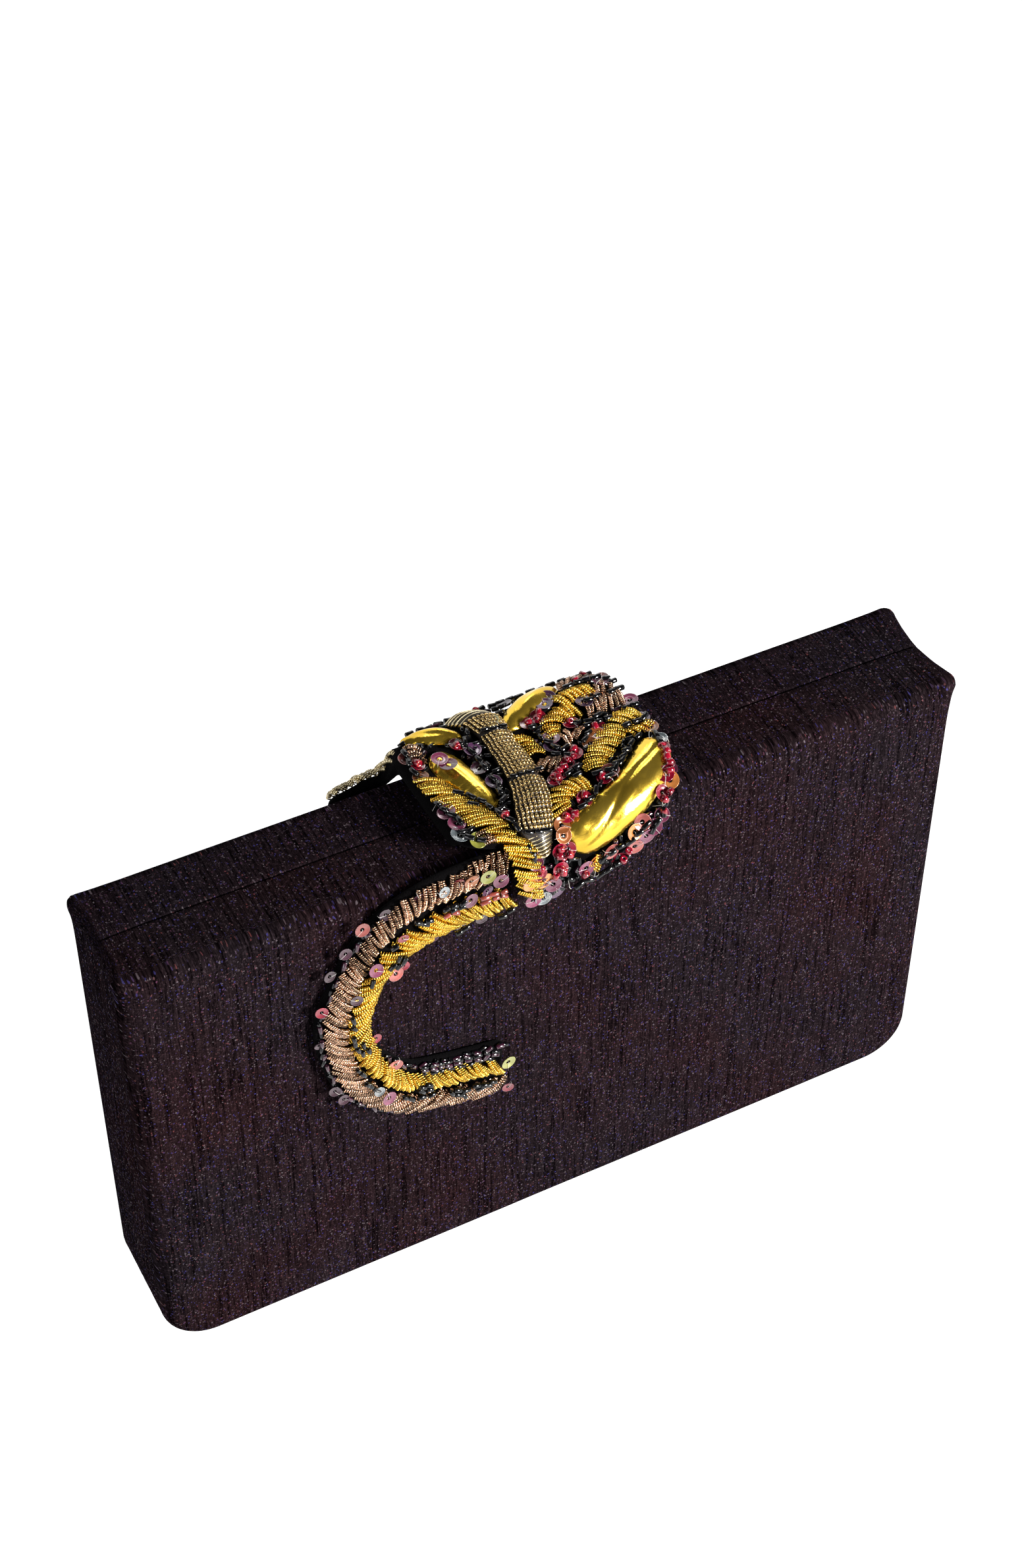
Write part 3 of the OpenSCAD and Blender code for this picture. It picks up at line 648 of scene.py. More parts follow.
front_silk = half_shell("front_silk", -1, 0.0, M["silk_front"], "front_half", 0.5, puff=0.22, sd=1.0)
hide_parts("front_cover", "front_wadding")
back_silk = half_shell("back_silk", 1, 0.0, M["silk_back"], "back_half", 0.5, puff=0.22, sd=4.0)
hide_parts("back_cover", "back_wadding")
front_satin = half_shell("front_satin", -1, 3.55, M["lining"], "front_half", 0.4, outer=True, y_seam=1.6, edge=(6.0, 5.4, 5.4), roll=False, pleat=0.0, puff=-0.12, sd=7.0)
back_satin = half_shell("back_satin", 1, 3.55, M["lining"], "back_half", 0.4, outer=True, y_seam=1.6, edge=(6.0, 5.4, 5.4), roll=False, pleat=0.0, puff=-0.12, sd=9.0)
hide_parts("front_lining")
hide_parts("back_lining")

# ---------------------------------------------------------------- pads and leaves
def pillow(name, outline, surf, lo_fn, hi_fn, r, mat, spacing=1.2, smooth_outline=True, ring=None):
    """closed pad over an outline in (x, s). hi_fn and lo_fn give the heights of its faces for (x, s, distance to the edge)"""
    P = np.asarray(outline, float)
    if smooth_outline:
        P = resample(catmull_closed(P, 6), spacing * 0.7, closed=True)
    else:
        P = resample(P, spacing * 0.7, closed=True)
    ring = ring if ring is not None else [r * 0.06, r * 0.22, r * 0.5, r * 0.85, r * 1.25]
    V2, F2, loop, P = fill2d(P, spacing, ring)
    d = np.maximum(seg_dist(V2, P), 0)
    d[loop] = 0
    x, s = V2[:, 0], V2[:, 1]
    hi, lo = hi_fn(x, s, d), lo_fn(x, s, d)
    k = np.clip(d / r, 0, 1)
    e = np.sqrt(np.maximum(0, 1 - (1 - k) ** 2))
    mid = (hi + lo) / 2
    top = mid + (hi - mid) * e
    bot = mid + (lo - mid) * e
    n = len(x)
    V = np.vstack([surf(x, s, top), surf(x, s, bot)])
    onb = np.zeros(n, bool)
    onb[loop] = True
    remap = np.arange(n) + n
    remap[loop] = np.array(loop)
    F = [tuple(f) for f in F2] + [tuple(int(remap[i]) for i in reversed(f)) for f in F2]
    used = np.unique(np.concatenate([np.asarray(f) for f in F]))
    new = -np.ones(2 * n, int)
    new[used] = np.arange(len(used))
    o = mesh_obj(name, V[used], [tuple(int(new[i]) for i in f) for f in F], mat)
    return fix_normals(o)


TABT = 4.6                                    # height of the padded top above the tab's underside
tab_outline = [(-25.6, -13.2), (-25.4, -8), (-25.2, 4), (-25, 12.2), (-23.2, 16.2), (-19, 18.8), (-15.2, 20.6), (-13.9, 24), (-13.7, 31), (-12.6, 36.4),
               (-8, 38.6), (-2, 38.2), (4, 37.2), (10, 35.4), (15, 32.8), (19.2, 29), (23, 24), (25.8, 19), (28, 12.4), (29.2, 5), (29.4, -3), (28.8, -10), (27.0, -15.6),
               (23.4, -19.6), (18, -21.2), (10, -21.4), (-10, -21.3), (-30, -21.8), (-37.0, -22.6), (-39.6, -22.0), (-38.0, -18.8), (-33, -17.0), (-28.2, -15.6), (-26.4, -14.2)]


def tab_lo(x, s, d):
    # the left overhang past the bend is only the top part of the pad, so that the front half's tail passes under it
    k = np.clip((-x - 13.6) / 2.5, 0, 1) * np.clip((s - 12.0) / 2.0, 0, 1)
    return 0.02 + 3.1 * k


def tab_hi(x, s, d):
    wing = np.clip((-x - 24.5) / 2.0, 0, 1) * np.clip((-13.5 - s) / 1.0, 0, 1)
    return TABT + 0.25 * noise2(x / 5, s / 5, 3) * np.clip(d / 3, 0, 1) - 1.9 * wing


tab_velvet = pillow("tab_velvet", tab_outline, S_tab, tab_lo, tab_hi, 1.7, M["velvet"], spacing=1.5)
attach(tab_velvet, "tab"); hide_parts("tab_backing", "tab_padding")

def zs(P):
    return [(a, -c) for a, c in P]


TAIL_OUT = zs([(-14.3, 129.8), (-24, 129.4), (-33, 128.4), (-42, 125.5), (-47.5, 121.8), (-52, 116.5), (-55.5, 110.5), (-58, 105), (-60.2, 99.5), (-61, 95), (-60.8, 89),
               (-60, 83.5), (-58.8, 78.5), (-56.8, 73), (-53.6, 67.8), (-49.6, 63.2), (-44.4, 59.4), (-38.6, 56.6), (-31, 54.8), (-24, 53.2), (-16, 52.6)])
TAIL_IN = zs([(-14.3, 112.0), (-22, 112.0), (-30, 111.9), (-36, 111.1), (-40, 109.6), (-43, 107), (-45.2, 103.5), (-46.8, 99.5), (-47.6, 95), (-47.6, 91), (-47, 86.8),
              (-46, 82.8), (-44.2, 79.2), (-41.6, 75.8), (-37.8, 72.8), (-31.2, 71.0), (-24.5, 69.6), (-17.8, 68.4), (-15.6, 67.4)])
tail_outline = np.vstack([catmull(TAIL_OUT, 6), catmull(TAIL_IN, 6)[::-1]])
tail_velvet = pillow("tail_velvet", resample(tail_outline, 1.0, closed=True), S_tail, lambda x, s, d: 0 * x + 0.02, lambda x, s, d: 1.9 + 0 * x, 1.0, M["velvet"],
                     spacing=1.5, smooth_outline=False)
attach(tail_velvet, "front_half"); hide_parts("tail_backing")
TAILT = 1.9


def leaf_mesh(name, outline, node_name, height, seed, spacing=0.55, ridge=(1, 0)):
    P = np.asarray(outline, float)
    c = P.mean(0)
    tg = np.roll(P, -1, 0) - np.roll(P, 1, 0)
    tg /= np.linalg.norm(tg, axis=1)[:, None]
    P = P + 0.75 * np.stack([tg[:, 1], -tg[:, 0]], 1) * np.sign(signed_area(P))
    LEAVES.append(P)
    a = np.linalg.eigh(np.cov((P - c).T))[1][:, 1]
    b = np.array([-a[1], a[0]])

    def hi(x, s, d):
        Q = np.stack([x, s], 1) - c
        u, v = Q @ a, Q @ b
        dome = height * (1 - np.exp(-d / (0.55 * height + 0.7)))
        wr = 0.24 * noise2(u / 8.5 + seed, v / 4.5, seed) + 0.13 * np.abs(noise2(u / 6.0 + seed, v / 1.6 + 0.35 * noise2(u / 4, v / 3, seed), seed)) + 0.015 * noise2(u / 1.8, v / 1.1, seed + 3)
        fold = 0.26 * np.exp(-((v - 0.6 * np.sin(u / 4 + seed)) / 0.55) ** 2) * np.clip(d / 2, 0, 1)
        edge = 0.16 * np.sin(u * 2.3 + 2 * np.sin(u * 0.7 + seed)) * np.exp(-d / 0.7) * np.clip(d / 0.25, 0, 1)
        return TABT + 0.35 + dome + (wr - 0.15) * np.clip(d / 0.9, 0, 1) - fold + edge
    o = pillow(name, P, S_tab, lambda x, s, d: TABT - 0.2 + 0 * x, hi, 0.5, M["leather"], spacing=spacing, ring=[0.04, 0.13, 0.28, 0.5, 0.8, 1.15])
    sub = o.modifiers.new("sub", "SUBSURF")
    sub.levels = sub.render_levels = 1
    apply_mods(o)
    o.data.polygons.foreach_set("use_smooth", np.ones(len(o.data.polygons), dtype=bool))
    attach(o, "tab"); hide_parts(node_name)
    return o


LEAVES = []
leaf_mesh("gold_leaf_large", [(25, 5.8), (27, 6.2), (28.2, 8), (28, 11), (26.2, 14.8), (22.8, 18.8), (18.4, 22.4), (13.2, 25.4), (8, 27.8), (4.4, 29), (1.6, 28.2),
                              (0, 25.6), (-0.4, 22.2), (0.8, 19.8), (4, 18.4), (8, 16.6), (12, 14.5), (16, 12.2), (20, 9.2), (23, 6.8)], "leaf_large", 2.1, 2.0)
leaf_mesh("gold_leaf_left", [(-18.6, -9.8), (-16.4, -9.9), (-14.2, -7.6), (-12.7, -3.4), (-11.9, 1), (-11.7, 4.4), (-12.2, 7.4), (-13.3, 9.2), (-14.4, 7.6),
                             (-15.6, 4), (-17, 0.6), (-18.4, -3), (-19.4, -7)], "leaf_left", 2.3, 5.0)
leaf_mesh("gold_leaf_back_right", [(0.4, -10.4), (3.2, -10.4), (7, -11.6), (10.8, -13.6), (14, -16.2), (15.6, -18.6), (13.6, -19.4), (10, -19), (6, -17.4), (2.8, -15), (0.8, -12.6)],
          "leaf_back_right", 2.6, 8.0)
leaf_mesh("gold_leaf_back_left", [(-22, -18), (-19.4, -19.2), (-15.4, -18.6), (-12.4, -16.2), (-10.6, -12.4), (-12.6, -12.4), (-16, -13.6), (-19.6, -15.8)], "leaf_back_left", 2.4, 11.0)


# ---------------------------------------------------------------- coils, wires, beads, sequins
def coil_arrays(line, N, R, wire, pitch, seg=7, sides=4, flat=0.9, rough=0.09):
    """a helix of wire round a line of points, with the surface normals N beside it"""
    L = np.r_[0, np.cumsum(np.linalg.norm(np.diff(line, axis=0), axis=1))]
    turns = max(2, int(L[-1] / pitch))
    n = turns * seg + 1
    t = np.linspace(0, L[-1], n)
    p = np.stack([np.interp(t, L, line[:, k]) for k in range(3)], 1)
    nn = np.stack([np.interp(t, L, N[:, k]) for k in range(3)], 1)
    T = np.gradient(p, axis=0)
    T /= np.linalg.norm(T, axis=1)[:, None]
    U = np.cross(T, nn)
    U /= np.linalg.norm(U, axis=1)[:, None]
    W = np.cross(U, T)
    th = np.arange(n) * 2 * math.pi / seg
    e = np.cos(th)[:, None] * U + (np.sin(th) * flat)[:, None] * W
    c = p + (R * (1 + rng.normal(0, rough, n)))[:, None] * e + (rng.normal(0, rough * 0.25, n))[:, None] * T
    V = np.empty((n, sides, 3))
    for k in range(sides):
        ph = 2 * math.pi * (k + 0.5) / sides
        V[:, k] = c + wire * (math.cos(ph) * e + math.sin(ph) * T)
    i = np.arange(n - 1)[:, None] * sides
    k = np.arange(sides)[None]
    k2 = (k + 1) % sides
    F = [tuple(f) for f in np.stack([i + k, i + k2, i + sides + k2, i + sides + k], -1).reshape(-1, 4)]
    F.append(tuple(range(sides - 1, -1, -1)))
    F.append(tuple((n - 1) * sides + q for q in range(sides)))
    return V.reshape(-1, 3), F


def tube_arrays(line, r, sides=6):
    line = np.asarray(line, float)
    n = len(line)
    T = np.gradient(line, axis=0)
    T /= np.linalg.norm(T, axis=1)[:, None] + 1e-12
    ref = np.array([0.31, 0.2, 0.93])
    U = np.cross(T, ref)
    U /= np.linalg.norm(U, axis=1)[:, None] + 1e-12
    W = np.cross(T, U)
    rr = np.broadcast_to(np.asarray(r, float), (n,))
    V = np.empty((n, sides, 3))
    for k in range(sides):
        a = 2 * math.pi * k / sides
        V[:, k] = line + rr[:, None] * (math.cos(a) * U + math.sin(a) * W)
    F = []
    for i in range(n - 1):
        for k in range(sides):
            j = (k + 1) % sides
            F.append((i * sides + k, i * sides + j, (i + 1) * sides + j, (i + 1) * sides + k))
    F.append(tuple(range(sides - 1, -1, -1)))
    F.append(tuple((n - 1) * sides + k for k in range(sides)))
    return V.reshape(-1, 3), F


class Batch:
    """collects many small meshes into one object"""

    def __init__(self):
        self.V, self.F, self.M, self.n = [], [], [], 0

    def add(self, V, F, m=0):
        self.V.append(V)
        for f in F:
            self.F.append(tuple(int(i) + self.n for i in f))
        self.M.extend([m] * len(F))
        self.n += len(V)

    def make(self, name, mats, body, nodes=(), smooth=True):
        o = mesh_obj(name, np.vstack(self.V), self.F, None, mats=mats, midx=self.M, smooth=smooth)
        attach(o, body)
        if nodes:
            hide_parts(*nodes)
        return o


TAKEN = {"tab": [], "front_half": []}             # what the motif already covers: paths with half widths


TAB_EDGE = resample(catmull_closed(tab_outline, 6), 1.0, closed=True)


def on_tab(surf, x, s, margin):
    """moves a point in (x, s) inwards until it lies on the tab, margin inside its edge"""
    if surf is not S_tab:
        return x, s
    for _ in range(12):
        if seg_dist(np.array([[x, s]]), TAB_EDGE)[0] >= margin:
            break
        cx, cs = (2.0, 8.0) if x > -24.6 else (-30.0, -19.5)
        d = math.hypot(cx - x, cs - s) + 1e-6
        x, s = x + 0.5 * (cx - x) / d, s + 0.5 * (cs - s) / d
    return x, s


def strand(batch, surf, nrm, path, w0, w1, base, lean=48, step=1.22, R=0.52, wire=0.20, arch=0.85, pitch=0.47, jitter=1.0, m=0, seg=5, sides=3, margin=2.0):
    """a row of short purl lengths laid slantwise across a path in (x, s). Widths may be lists along the path."""
    P = resample(catmull(path, 8), 0.35)
    L = np.r_[0, np.cumsum(np.linalg.norm(np.diff(P, axis=0), axis=1))]
    T = np.gradient(P, axis=0)
    T /= np.linalg.norm(T, axis=1)[:, None]
    leans = lean if isinstance(lean, (tuple, list)) else (lean, lean)
    widths = list(w0) if isinstance(w0, (tuple, list)) else [w0, w1]
    TAKEN["tab" if surf is S_tab else "front_half"].append((P, np.interp(L / L[-1], np.linspace(0, 1, len(widths)), widths) / 2))
    n = max(2, int(L[-1] / step))
    for i in range(n):
        q = (i + 0.5) / n * L[-1]
        c = np.array([np.interp(q, L, P[:, k]) for k in range(2)])
        t = np.array([np.interp(q, L, T[:, k]) for k in range(2)])
        w = np.interp(q / L[-1], np.linspace(0, 1, len(widths)), widths)
        if margin:
            c = np.array(on_tab(surf, c[0], c[1], min(margin, w * 0.45)))
        a = math.radians(np.interp(q / L[-1], np.linspace(0, 1, len(leans)), leans) + rng.normal(0, 5) * jitter)
        d = np.array([t[0] * math.cos(a) - t[1] * math.sin(a), t[0] * math.sin(a) + t[1] * math.cos(a)])
        half = w / 2 / max(0.45, abs(math.sin(a))) * (1 + rng.normal(0, 0.07) * jitter)
        u = np.linspace(-1, 1, 9)
        off = rng.normal(0, 0.12, 2) * jitter
        xy = c + off + d * (u[:, None] * half)
        tt = base + R + wire + arch * (1 - u ** 2) + 0.35 * u * (0.6 if i % 2 else 0.2) + rng.normal(0, 0.13) * jitter
        tt = np.maximum(tt, base + R * 0.6)
        p = surf(xy[:, 0], xy[:, 1], tt)
        V, F = coil_arrays(p, nrm(xy[:, 0], xy[:, 1]), R * (1 + rng.normal(0, 0.05)), wire, pitch * (1 + rng.normal(0, 0.05)), seg=seg, sides=sides)
        batch.add(V, F, m)


def couch(batch, surf, path, base, r, m=0, sides=5, arch=0.0):
    P = resample(catmull(path, 6), 0.6)
    u = np.linspace(-1, 1, len(P))
    batch.add(*tube_arrays(surf(P[:, 0], P[:, 1], base + r + arch * (1 - u ** 2)), r, sides), m)


def frame_at(nrm, x, s):
    n = nrm(x, s)
    ex = np.array([1.0, 0, 0])
    return ex, np.cross(n, ex) * -1, n          # es runs down the surface as s grows


def bead(batch, surf, nrm, x, s, ang, length, r, base, m=0, sides=7, tilt=0.0, hole=True):
    """a glass bugle: a tube with a hole, lying on the surface"""
    x, s = on_tab(surf, x, s, 0.9)
    c = surf(x, s, base + r)
    ex, es, n = frame_at(nrm, x, s)
    d = math.cos(ang) * ex + math.sin(ang) * es + tilt * n
    d /= np.linalg.norm(d)
    e1 = np.cross(n, d)
    e1 /= np.linalg.norm(e1)
    e2 = np.cross(d, e1)
    prof = [(-0.5, 0.38), (-0.5, 0.85), (-0.44, 1.0), (0.44, 1.0), (0.5, 0.85), (0.5, 0.38)]
    V = np.array([c + d * (a * length) + r * q * (math.cos(2 * math.pi * k / sides) * e1 + math.sin(2 * math.pi * k / sides) * e2)
                  for a, q in prof for k in range(sides)])
    F = []
    npf = len(prof)
    for i in range(npf):
        i2 = (i + 1) % npf
        for k in range(sides):
            j = (k + 1) % sides
            F.append((i * sides + k, i * sides + j, i2 * sides + j, i2 * sides + k))
    batch.add(V, F, m)


def bead_line(batch, surf, nrm, path, base, length=2.1, r=0.62, gap=0.35, m=0, jit=0.22, closed=False):
    P = resample(catmull(path, 6), 0.3) if len(path) > 2 else resample(path, 0.3)
    L = np.r_[0, np.cumsum(np.linalg.norm(np.diff(P, axis=0), axis=1))]
    T = np.gradient(P, axis=0)
    q = length * 0.5
    while q < L[-1]:
        ln = length * rng.uniform(0.8, 1.15)
        c = [np.interp(q, L, P[:, k]) for k in range(2)]
        t = [np.interp(q, L, T[:, k]) for k in range(2)]
        bead(batch, surf, nrm, c[0] + rng.normal(0, 0.15), c[1] + rng.normal(0, 0.15), math.atan2(t[1], t[0]) + rng.normal(0, jit), ln, r * rng.uniform(0.9, 1.08),
             base + rng.uniform(0, 0.25), m, tilt=rng.normal(0, 0.1))
        q += ln + gap


def sequin(batch, surf, nrm, x, s, base, r, m, tilt=0.22, stitch=None):
    x, s = on_tab(surf, x, s, 0.8)
    ex, es, n = frame_at(nrm, x, s)
    a = rng.uniform(0, 2 * math.pi)
    tl = rng.uniform(0.3, 1.0) * tilt
    n2 = n + tl * (math.cos(a) * ex + math.sin(a) * es)
    n2 /= np.linalg.norm(n2)
    e1 = np.cross(n2, es)
    e1 /= np.linalg.norm(e1)
    e2 = np.cross(n2, e1)
    c = surf(x, s, base)
    k = 22
    prof = [(0.27, 0.10, 1), (0.31, 0.16, 1), (0.52, 0.17, 1), (0.80, 0.24, 1), (0.95, 0.36, 1), (1.0, 0.36, 1), (0.98, 0.28, 0), (0.78, 0.12, 0), (0.5, 0.04, 0), (0.29, 0.03, 0)]
    V = []
    for q, h, up in prof:
        for i in range(k):
            th = 2 * math.pi * i / k
            V.append(c + r * q * (math.cos(th) * e1 + math.sin(th) * e2) + n2 * (h * r * 0.55))
    F = []
    for i in range(len(prof)):
        i2 = (i + 1) % len(prof)
        for j in range(k):
            j2 = (j + 1) % k
            F.append((i * k + j, i * k + j2, i2 * k + j2, i2 * k + j))
    batch.add(np.array(V), F, m)
    if stitch is not None:
        th = rng.uniform(0, 2 * math.pi)
        d = math.cos(th) * e1 + math.sin(th) * e2
        line = [c - n2 * 0.1, c + n2 * (0.16 * r + 0.10), c + n2 * (0.2 * r + 0.12) + d * r * 0.55, c + n2 * (0.24 * r) + d * r * 1.03, c - n2 * 0.3 + d * r * 1.12]
        stitch.add(*tube_arrays(catmull(line, 4), 0.055, 4), 0)


SEQ = ["seq_mauve", "seq_violet", "seq_crimson", "seq_copper", "seq_peach", "seq_rose", "seq_green", "seq_clear", "seq_plum"]
SEQ_KEY = dict(M=0, V=1, C=2, O=3, P=4, R=5, G=6, L=7, D=8)
GOLD_LEAN, BR_LEAN = 52, -62

# gold rows on the tab
b = Batch()
TT = TABT + 0.1
strand(b, S_tab, N_tab, [(-22.4, -4.2), (-21.6, 0.2), (-20.2, 4.6), (-18.4, 9.4), (-16.2, 14.6), (-14.4, 19.6), (-12.9, 25), (-12, 30), (-11.2, 36.2)], [4.6, 5.6, 5.8, 5.4, 5.2, 5.4, 5.6, 4.6], 0, TT, lean=-52)
strand(b, S_tab, N_tab, [(0.9, -7), (1.7, -4), (2.3, -0.2)], 3.8, 3.6, TT, lean=-62)
strand(b, S_tab, N_tab, [(7.4, -3.6), (9.0, -7), (12, -9), (16.2, -8.8)], 4.2, 4.0, TT, lean=64)
strand(b, S_tab, N_tab, [(12.6, -11.8), (17, -12.6), (22, -13.2)], 3.8, 3.6, TT, lean=64)
strand(b, S_tab, N_tab, [(29.0, -2.6), (26, -2.4), (22, -0.8), (19, 1.6), (15.4, 4.4), (12.4, 6.8), (11.0, 9.6)], 5.2, 5.4, TT, lean=66)
strand(b, S_tab, N_tab, [(-1.2, 17.2), (0.2, 13.4), (3.8, 11.8), (7.6, 12.2)], 5.0, 5.4, TT, lean=64)
strand(b, S_tab, N_tab, [(22.5, 2.6), (26, 2.4), (29.4, 1.4)], 2.2, 2.0, TT, lean=60, R=0.42)
strand(b, S_tab, N_tab, [(3.8, 31.0), (5.2, 34.6)], 2.4, 2.0, TT, lean=60, R=0.42)
b.make("tab_gold_coils", [M["gold"]], "tab", ["tab_gold_purl"])

b = Batch()
strand(b, S_tab, N_tab, [(17.6, -7.0), (21, -7.6), (25, -8.0), (28.4, -9.0)], 4.2, 4.6, TT, lean=-66, pitch=0.44)
strand(b, S_tab, N_tab, [(8.8, -1.6), (11.6, -2.6), (14.4, -1.8)], 3.6, 3.4, TT, lean=-62, pitch=0.44)
strand(b, S_tab, N_tab, [(0.2, 2.4), (2.6, 3.6), (5.4, 4.4)], 3.8, 3.4, TT, lean=-62, pitch=0.44)
strand(b, S_tab, N_tab, [(22.4, -11.6), (24.6, -12.2), (27.0, -12.4)], 3.0, 3.0, TT, lean=-62, pitch=0.44)
strand(b, S_tab, N_tab, [(15.8, -17.6), (20, -17.6), (24.6, -15.8)], 3.6, 3.4, TT, lean=-62, pitch=0.44)
strand(b, S_tab, N_tab, [(-21.4, -14), (-22, -11), (-21.6, -8.8)], 3.2, 3.0, TT, lean=-62, pitch=0.44)
strand(b, S_tab, N_tab, [(-19.4, 14.6), (-17.4, 18.2)], 2.6, 2.4, TT, lean=-60, pitch=0.44)
b.make("tab_bronze_coils", [M["bronze"]], "tab", ["tab_bronze_purl"])

b = Batch()
strand(b, S_tab, N_tab, [(21.6, -20.6), (17, -21.4), (8, -21.6), (-8, -21.6), (-24, -21.6)], 3.0, 3.0, 1.2, lean=74, arch=0.8, step=1.3, margin=0)
strand(b, S_tab, N_tab, [(-24.2, -17.8), (-30, -19.2), (-35.0, -20.3), (-38.6, -21.2)], 4.2, 3.4, 2.3, lean=50, step=1.35, R=0.56, margin=0)
b.make("tab_edge_coils", [M["ivory"]], "tab", ["tab_edge_purl"])

# tail rows on the front face, as (x, height)
TG = zs([(-14.6, 116.5), (-18.4, 116.2), (-24.5, 116.4), (-29.5, 115.9), (-34.5, 114.6), (-38.9, 112.9), (-42.6, 110.6), (-46.0, 106.8), (-47.8, 103.6), (-49.0, 100.4), (-50.0, 97.2),
         (-50.7, 93.9), (-50.9, 90.5), (-50.4, 87.2), (-49.6, 83.9), (-48.4, 80.5), (-47.0, 77.2), (-45.0, 73.9), (-42.3, 70.6), (-39.4, 68.1), (-35.6, 66.4), (-32.3, 65.2),
         (-26.7, 64.1), (-21.2, 62.8), (-17.0, 61.6)])
TBZ = zs([(-14.8, 125.4), (-21.2, 125.4), (-28, 125.3), (-34.5, 124.8), (-39.6, 123.0), (-43.4, 120.6), (-46.4, 117.6), (-49.0, 114.0), (-51.4, 110.2), (-53.2, 106.4), (-54.7, 102.6),
          (-55.8, 98.9), (-56.3, 95.4), (-56.3, 91.6), (-56.0, 88.0), (-55.4, 84.3), (-54.6, 80.6), (-53.5, 77.2), (-52.0, 73.8), (-50.2, 70.5), (-47.6, 67.0), (-44.4, 64.0),
          (-40.4, 61.2), (-35.0, 59.1), (-29.5, 57.6), (-23.9, 56.2), (-17.4, 54.9)])
b = Batch()
strand(b, S_tail, N_tail, TG, [7.8, 7.4, 6.6, 5.2, 5.2, 4.6, 4.6, 5.2, 5.0], 0, TAILT, lean=(66, 50, 44, 44, 46, 46, 48), step=1.34, R=0.53, wire=0.21, arch=1.25, pitch=0.50)
b.make("tail_gold_coils", [M["gold"]], "front_half", ["tail_gold_purl"])
b = Batch()
strand(b, S_tail, N_tail, TBZ, [6.4, 6.4, 5.9, 5.8, 5.4, 5.2, 5.4, 5.2], 0, TAILT, lean=(-84, -76, -58, -46, -44, -46, -50), step=1.22, R=0.51, wire=0.19, arch=1.05, pitch=0.48)
strand(b, S_tail, N_tail, zs([(-14.8, 128.9), (-19, 128.8), (-24.5, 128.4)]), 2.8, 2.6, TAILT - 0.4, lean=(-84, -80), step=1.36, R=0.48, wire=0.19, arch=0.5, pitch=0.47)
b.make("tail_bronze_coils", [M["bronze"]], "front_half", ["tail_bronze_purl"])

# belly panel: wires along it, tied down by dark threads across it
b = Batch()
bl = np.array([(-11.4, -19.4), (-8.6, -15), (-6.9, -11), (-6.6, -6), (-6.7, 0), (-7.4, 5), (-9, 10), (-10.4, 14), (-11.2, 18), (-10.6, 21.5), (-9, 25.4)], float)
br = np.array([(-2.2, -19.4), (-0.4, -15), (0.2, -11), (0.3, -6), (0.4, 0), (0.2, 5), (-0.4, 9), (-1.2, 12.5), (-2.4, 16), (-3.8, 20), (-5.6, 24.6)], float)
bl, br = catmull(bl, 6), catmull(br, 6)


def belly(w, s):
    """w 0 to 1 across, s along"""
    xl = np.interp(s, bl[:, 1], bl[:, 0]); xr = np.interp(s, br[:, 1], br[:, 0])
    return xl + (xr - xl) * w


def belly_h(w):
    w = np.clip(w, 0, 1)
    return TABT + 0.5 + 1.9 * (1 - (2 * w - 1) ** 2)


for s0, s1, slant in ((-14.6, -10.6, 0.8), (-9.4, 4.0, 1.2), (5.4, 18.6, 1.8)):
    nw = 9
    k = int((s1 - s0) / 1.18)
    for i in range(nw):
        w = (i + 0.5) / nw
        ss = np.linspace(s0, s1, 90)
        ww = np.clip(w + 0.010 * np.sin(ss * 1.7 + i), 0.01, 0.99)
        s2 = ss + slant * (w - 0.5) + 0.5 * np.sin(math.pi * w) - 0.25
        lift = np.abs(np.sin(math.pi * (k + 1) * (ss - s0) / (s1 - s0)))
        b.add(*tube_arrays(S_tab(belly(ww, s2), s2, belly_h(ww) + 0.02 + 0.30 * lift), 0.34 + 0.09 * lift, 6), 0)
    for j in range(k + 2):
        sc = s0 + j * (s1 - s0) / (k + 1)
        w = np.linspace(-0.01, 1.01, 17)
        s2 = sc + slant * (w - 0.5) + 0.5 * np.sin(math.pi * np.clip(w, 0, 1)) - 0.25 + 0.10 * np.sin(w * 9 + j * 2.1)
        b.add(*tube_arrays(S_tab(belly(w, s2), s2, belly_h(w) + 0.40), 0.15, 5), 1)
for j in range(5):
    s2 = np.full(11, -19.2 + j * 0.94)
    w = np.linspace(0, 1, 11)
    s2 = s2 + 0.5 * (w - 0.5)
    b.add(*tube_arrays(S_tab(belly(w, s2), s2, belly_h(w) - 0.2), 0.40, 6), 2)
for j in range(7):
    s2 = np.full(9, 19.9 + j * 0.80)
    w = np.linspace(0, 1, 9)
    s2 = s2 - 0.8 * (w - 0.5)
    b.add(*tube_arrays(S_tab(belly(w, s2), s2, belly_h(w) - 0.3), 0.30, 6), 2)
b.make("belly_wirework", [M["wire"], M["dark_thread"], M["ivory"]], "tab", ["belly_wires"])
# padding under the wires
belly_pad = pillow("belly_padding", np.vstack([bl, br[::-1]]), S_tab, lambda x, s, d: TABT - 0.3 + 0 * x,
                   lambda x, s, d: TABT + 0.55 + 1.85 * (1 - np.clip(1 - d / 3.6, 0, 1) ** 2), 0.5, M["dark_thread"], spacing=0.9)
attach(belly_pad, "tab")

